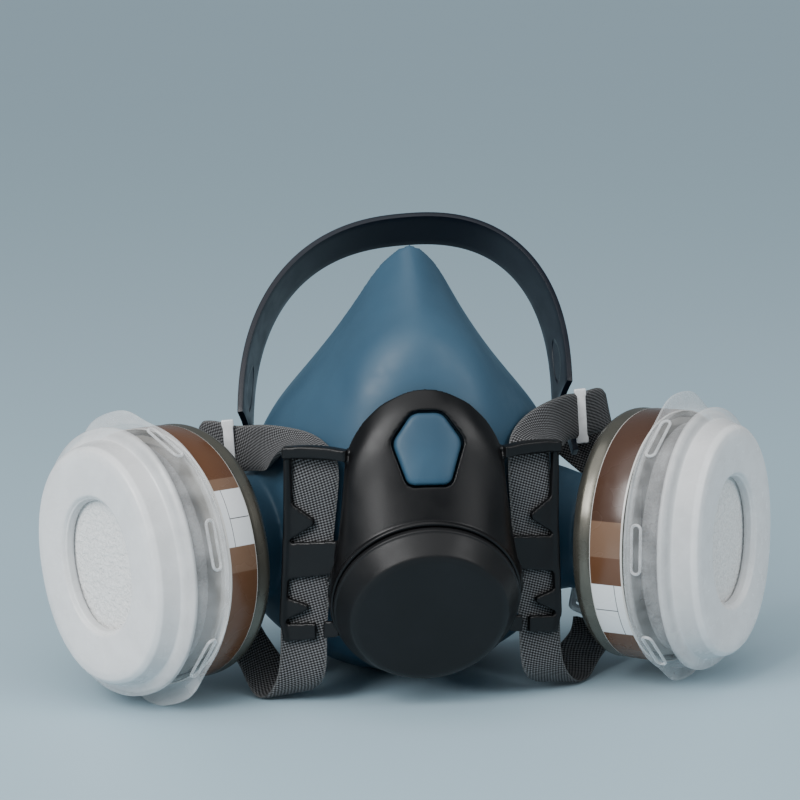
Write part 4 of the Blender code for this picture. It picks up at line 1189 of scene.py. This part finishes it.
def make_buckle(side, stations, hook, material):
    """Clear plate on the lower strap end; hook gives the half with a tongue."""
    outline = [(-10.5, 0), (10.5, 0), (10.5, 12)]
    if hook:
        outline += [(4.5, 12), (4.0, 17), (-4.0, 17), (-4.5, 12)]
    outline.append((-10.5, 12))
    plate = prism("buckle_" + side, filleted(outline, 2.6, 5, closed=True), -1.15, 1.15)
    slot = filleted(((-8.3, 2), (8.3, 2), (8.3, 4.4), (-8.3, 4.4)), 0.6, 3, closed=True)
    boolean(plate, prism("slot", slot, -4, 4))
    if not hook:
        gate = filleted(((-6, 6.6), (6, 6.6), (6, 9.6), (-6, 9.6)), 0.8, 3, closed=True)
        boolean(plate, prism("gate", gate, -4, 4))
    bevelled(plate, 60)
    plate.data.transform(buckle_matrix(stations) @ Matrix.Rotation(math.radians(BUCKLE_LEAN[side]), 4, "X"))
    dress(shaded(plate, 50), material, "neck_buckle_" + side, "neck_buckle_" + side, slot="clear_plastic")


# Studio


def make_floor():
    bpy.ops.mesh.primitive_plane_add(size=60)
    floor = bpy.context.object
    floor.name = "floor"
    shader = Shader("floor", (0.38, 0.52, 0.6), 0.55)
    shader.set("Base Color", shader.vary((0.38, 0.52, 0.6), 400, 0.05, (0.33, 0.47, 0.56)))
    floor.data.materials.append(shader.material)


def add_light(name, place, aim, size, power):
    lamp = bpy.data.lights.new(name, "AREA")
    lamp.shape = "RECTANGLE"
    lamp.size, lamp.size_y = size
    lamp.energy = power
    obj = placed(name, lamp)
    obj.location = place
    obj.rotation_euler = (Vector(aim) - Vector(place)).to_track_quat("-Z", "Y").to_euler()


def make_studio():
    make_floor()
    world = bpy.data.worlds.new("studio")
    world.use_nodes = True
    background = world.node_tree.nodes["Background"]
    background.inputs["Color"].default_value = (0.62, 0.71, 0.77, 1)
    background.inputs["Strength"].default_value = 0.36
    bpy.context.scene.world = world
    aim = (0, 0, 0.07)
    add_light("left_window", (-0.75, -0.75, 0.75), aim, (0.5, 0.7), 15)
    add_light("right_window", (0.8, -0.7, 0.7), aim, (0.45, 0.6), 5)
    sun = bpy.data.lights.new("soft_sky", "SUN")
    sun.energy = 1.7
    sun.angle = math.radians(70)
    placed("soft_sky", sun).rotation_euler = (math.radians(24), math.radians(-14), 0)


def make_camera():
    camera = bpy.data.cameras.new("camera")
    camera.lens = CAMERA_LENS
    obj = placed("camera", camera)
    turn, rise = math.radians(CAMERA_AZIMUTH), math.radians(CAMERA_ELEVATION)
    away = Vector((math.sin(turn) * math.cos(rise), -math.cos(turn) * math.cos(rise), math.sin(rise)))
    aim = Vector(CAMERA_AIM) * MM
    obj.location = aim + away * CAMERA_DISTANCE * MM
    obj.rotation_euler = (-away).to_track_quat("-Z", "Y").to_euler()
    bpy.context.scene.camera = obj


def carry_over(node, material, bevel=0.0):
    """A CAD node that stays as it is, with a finished material and eased edges."""
    obj = frame["nodes"][node]
    obj.data.materials.clear()
    obj.data.materials.append(material)
    if bevel:
        edges = obj.modifiers.new("edges", "BEVEL")
        edges.width = bevel * MM
        edges.segments = 2
        edges.limit_method = "ANGLE"


def main():
    # pale_blue colours the silicone's bloom and its painted rim light; the badge's pale colour below does the
    # same
    blue, pale_blue = (0.028, 0.07, 0.112), (0.06, 0.135, 0.2)
    black = black_plastic("yoke_plastic", (0.003, 0.003, 0.0035), 0.34)
    matt_black = black_plastic("cover_plastic", (0.0045, 0.0045, 0.005), 0.42, 0.25, 0.015)
    port_plastic = black_plastic("port_plastic", (0.05, 0.055, 0.06), 0.42)
    rubber = soft_rubber("flap_rubber", (0.62, 0.58, 0.48))
    clear = frosted_plastic("clip_plastic", (0.86, 0.87, 0.88), 0.78)
    cradle = cradle_plastic()
    web = webbing()
    make_facepiece(silicone("facepiece_silicone", blue, pale_blue))
    make_yoke(black)
    make_badge(silicone("badge_silicone", (0.018, 0.055, 0.092), (0.09, 0.21, 0.31)))
    make_exhalation(matt_black, port_plastic, rubber)
    left_panels = (("white", -2, 17.5), ("tan", -10.5, -2), ("tan", 17.5, 21.5))
    left_lines = ((-2, 17.5, -4.9, -4.65), (7.4, 7.7, -13.4, -4.65))
    right_panels = (("tan", -3.5, 8.8), ("dark", 8.8, 60), ("white", -31, -13))
    right_lines = ((-31, -13, -4.9, -4.65), (-22.4, -22.1, -13.4, -4.65))
    materials = {
        "port": port_plastic, "gasket": soft_rubber("gasket_rubber", (0.02, 0.02, 0.02)), "rubber": rubber,
        "housing": housing_plastic(), "felt_left": felt("left"), "felt_right": felt("right"),
        "rim": frosted_plastic("rim_plastic", (0.8, 0.81, 0.82), 0.3),
        "retainer_right": retainer_plastic("right"), "retainer_left": retainer_plastic("left"),
        "label_right": label_paper("right", right_panels, right_lines),
        "label_left": label_paper("left", left_panels, left_lines),
    }
    for side in ("left", "right"):
        make_side(side, materials)
    make_cradle(cradle)
    make_strap("right", RIGHT_STRAP, web)
    make_strap("left", LEFT_STRAP, web)
    make_clip("clip_right", RIGHT_STRAP[CLIP_STATION][0], clear, "strap_clip_right")
    left_foot = np.array(LEFT_STRAP[CLIP_STATION][0]) + LEFT_CLIP_SHIFT
    make_clip("clip_left", left_foot, clear, "strap_clip_left")
    make_buckle("right", RIGHT_STRAP, True, clear)
    make_buckle("left", LEFT_STRAP, False, clear)
    lid_plastic, carbon = black_plastic("lid_plastic", (0.2, 0.19, 0.17), 0.4), granules()
    for side in ("left", "right"):
        carry_over("cartridge_lid_" + side, lid_plastic, 0.3)
        carry_over("sorbent_bed_" + side, carbon)
    make_studio()
    make_camera()


main()
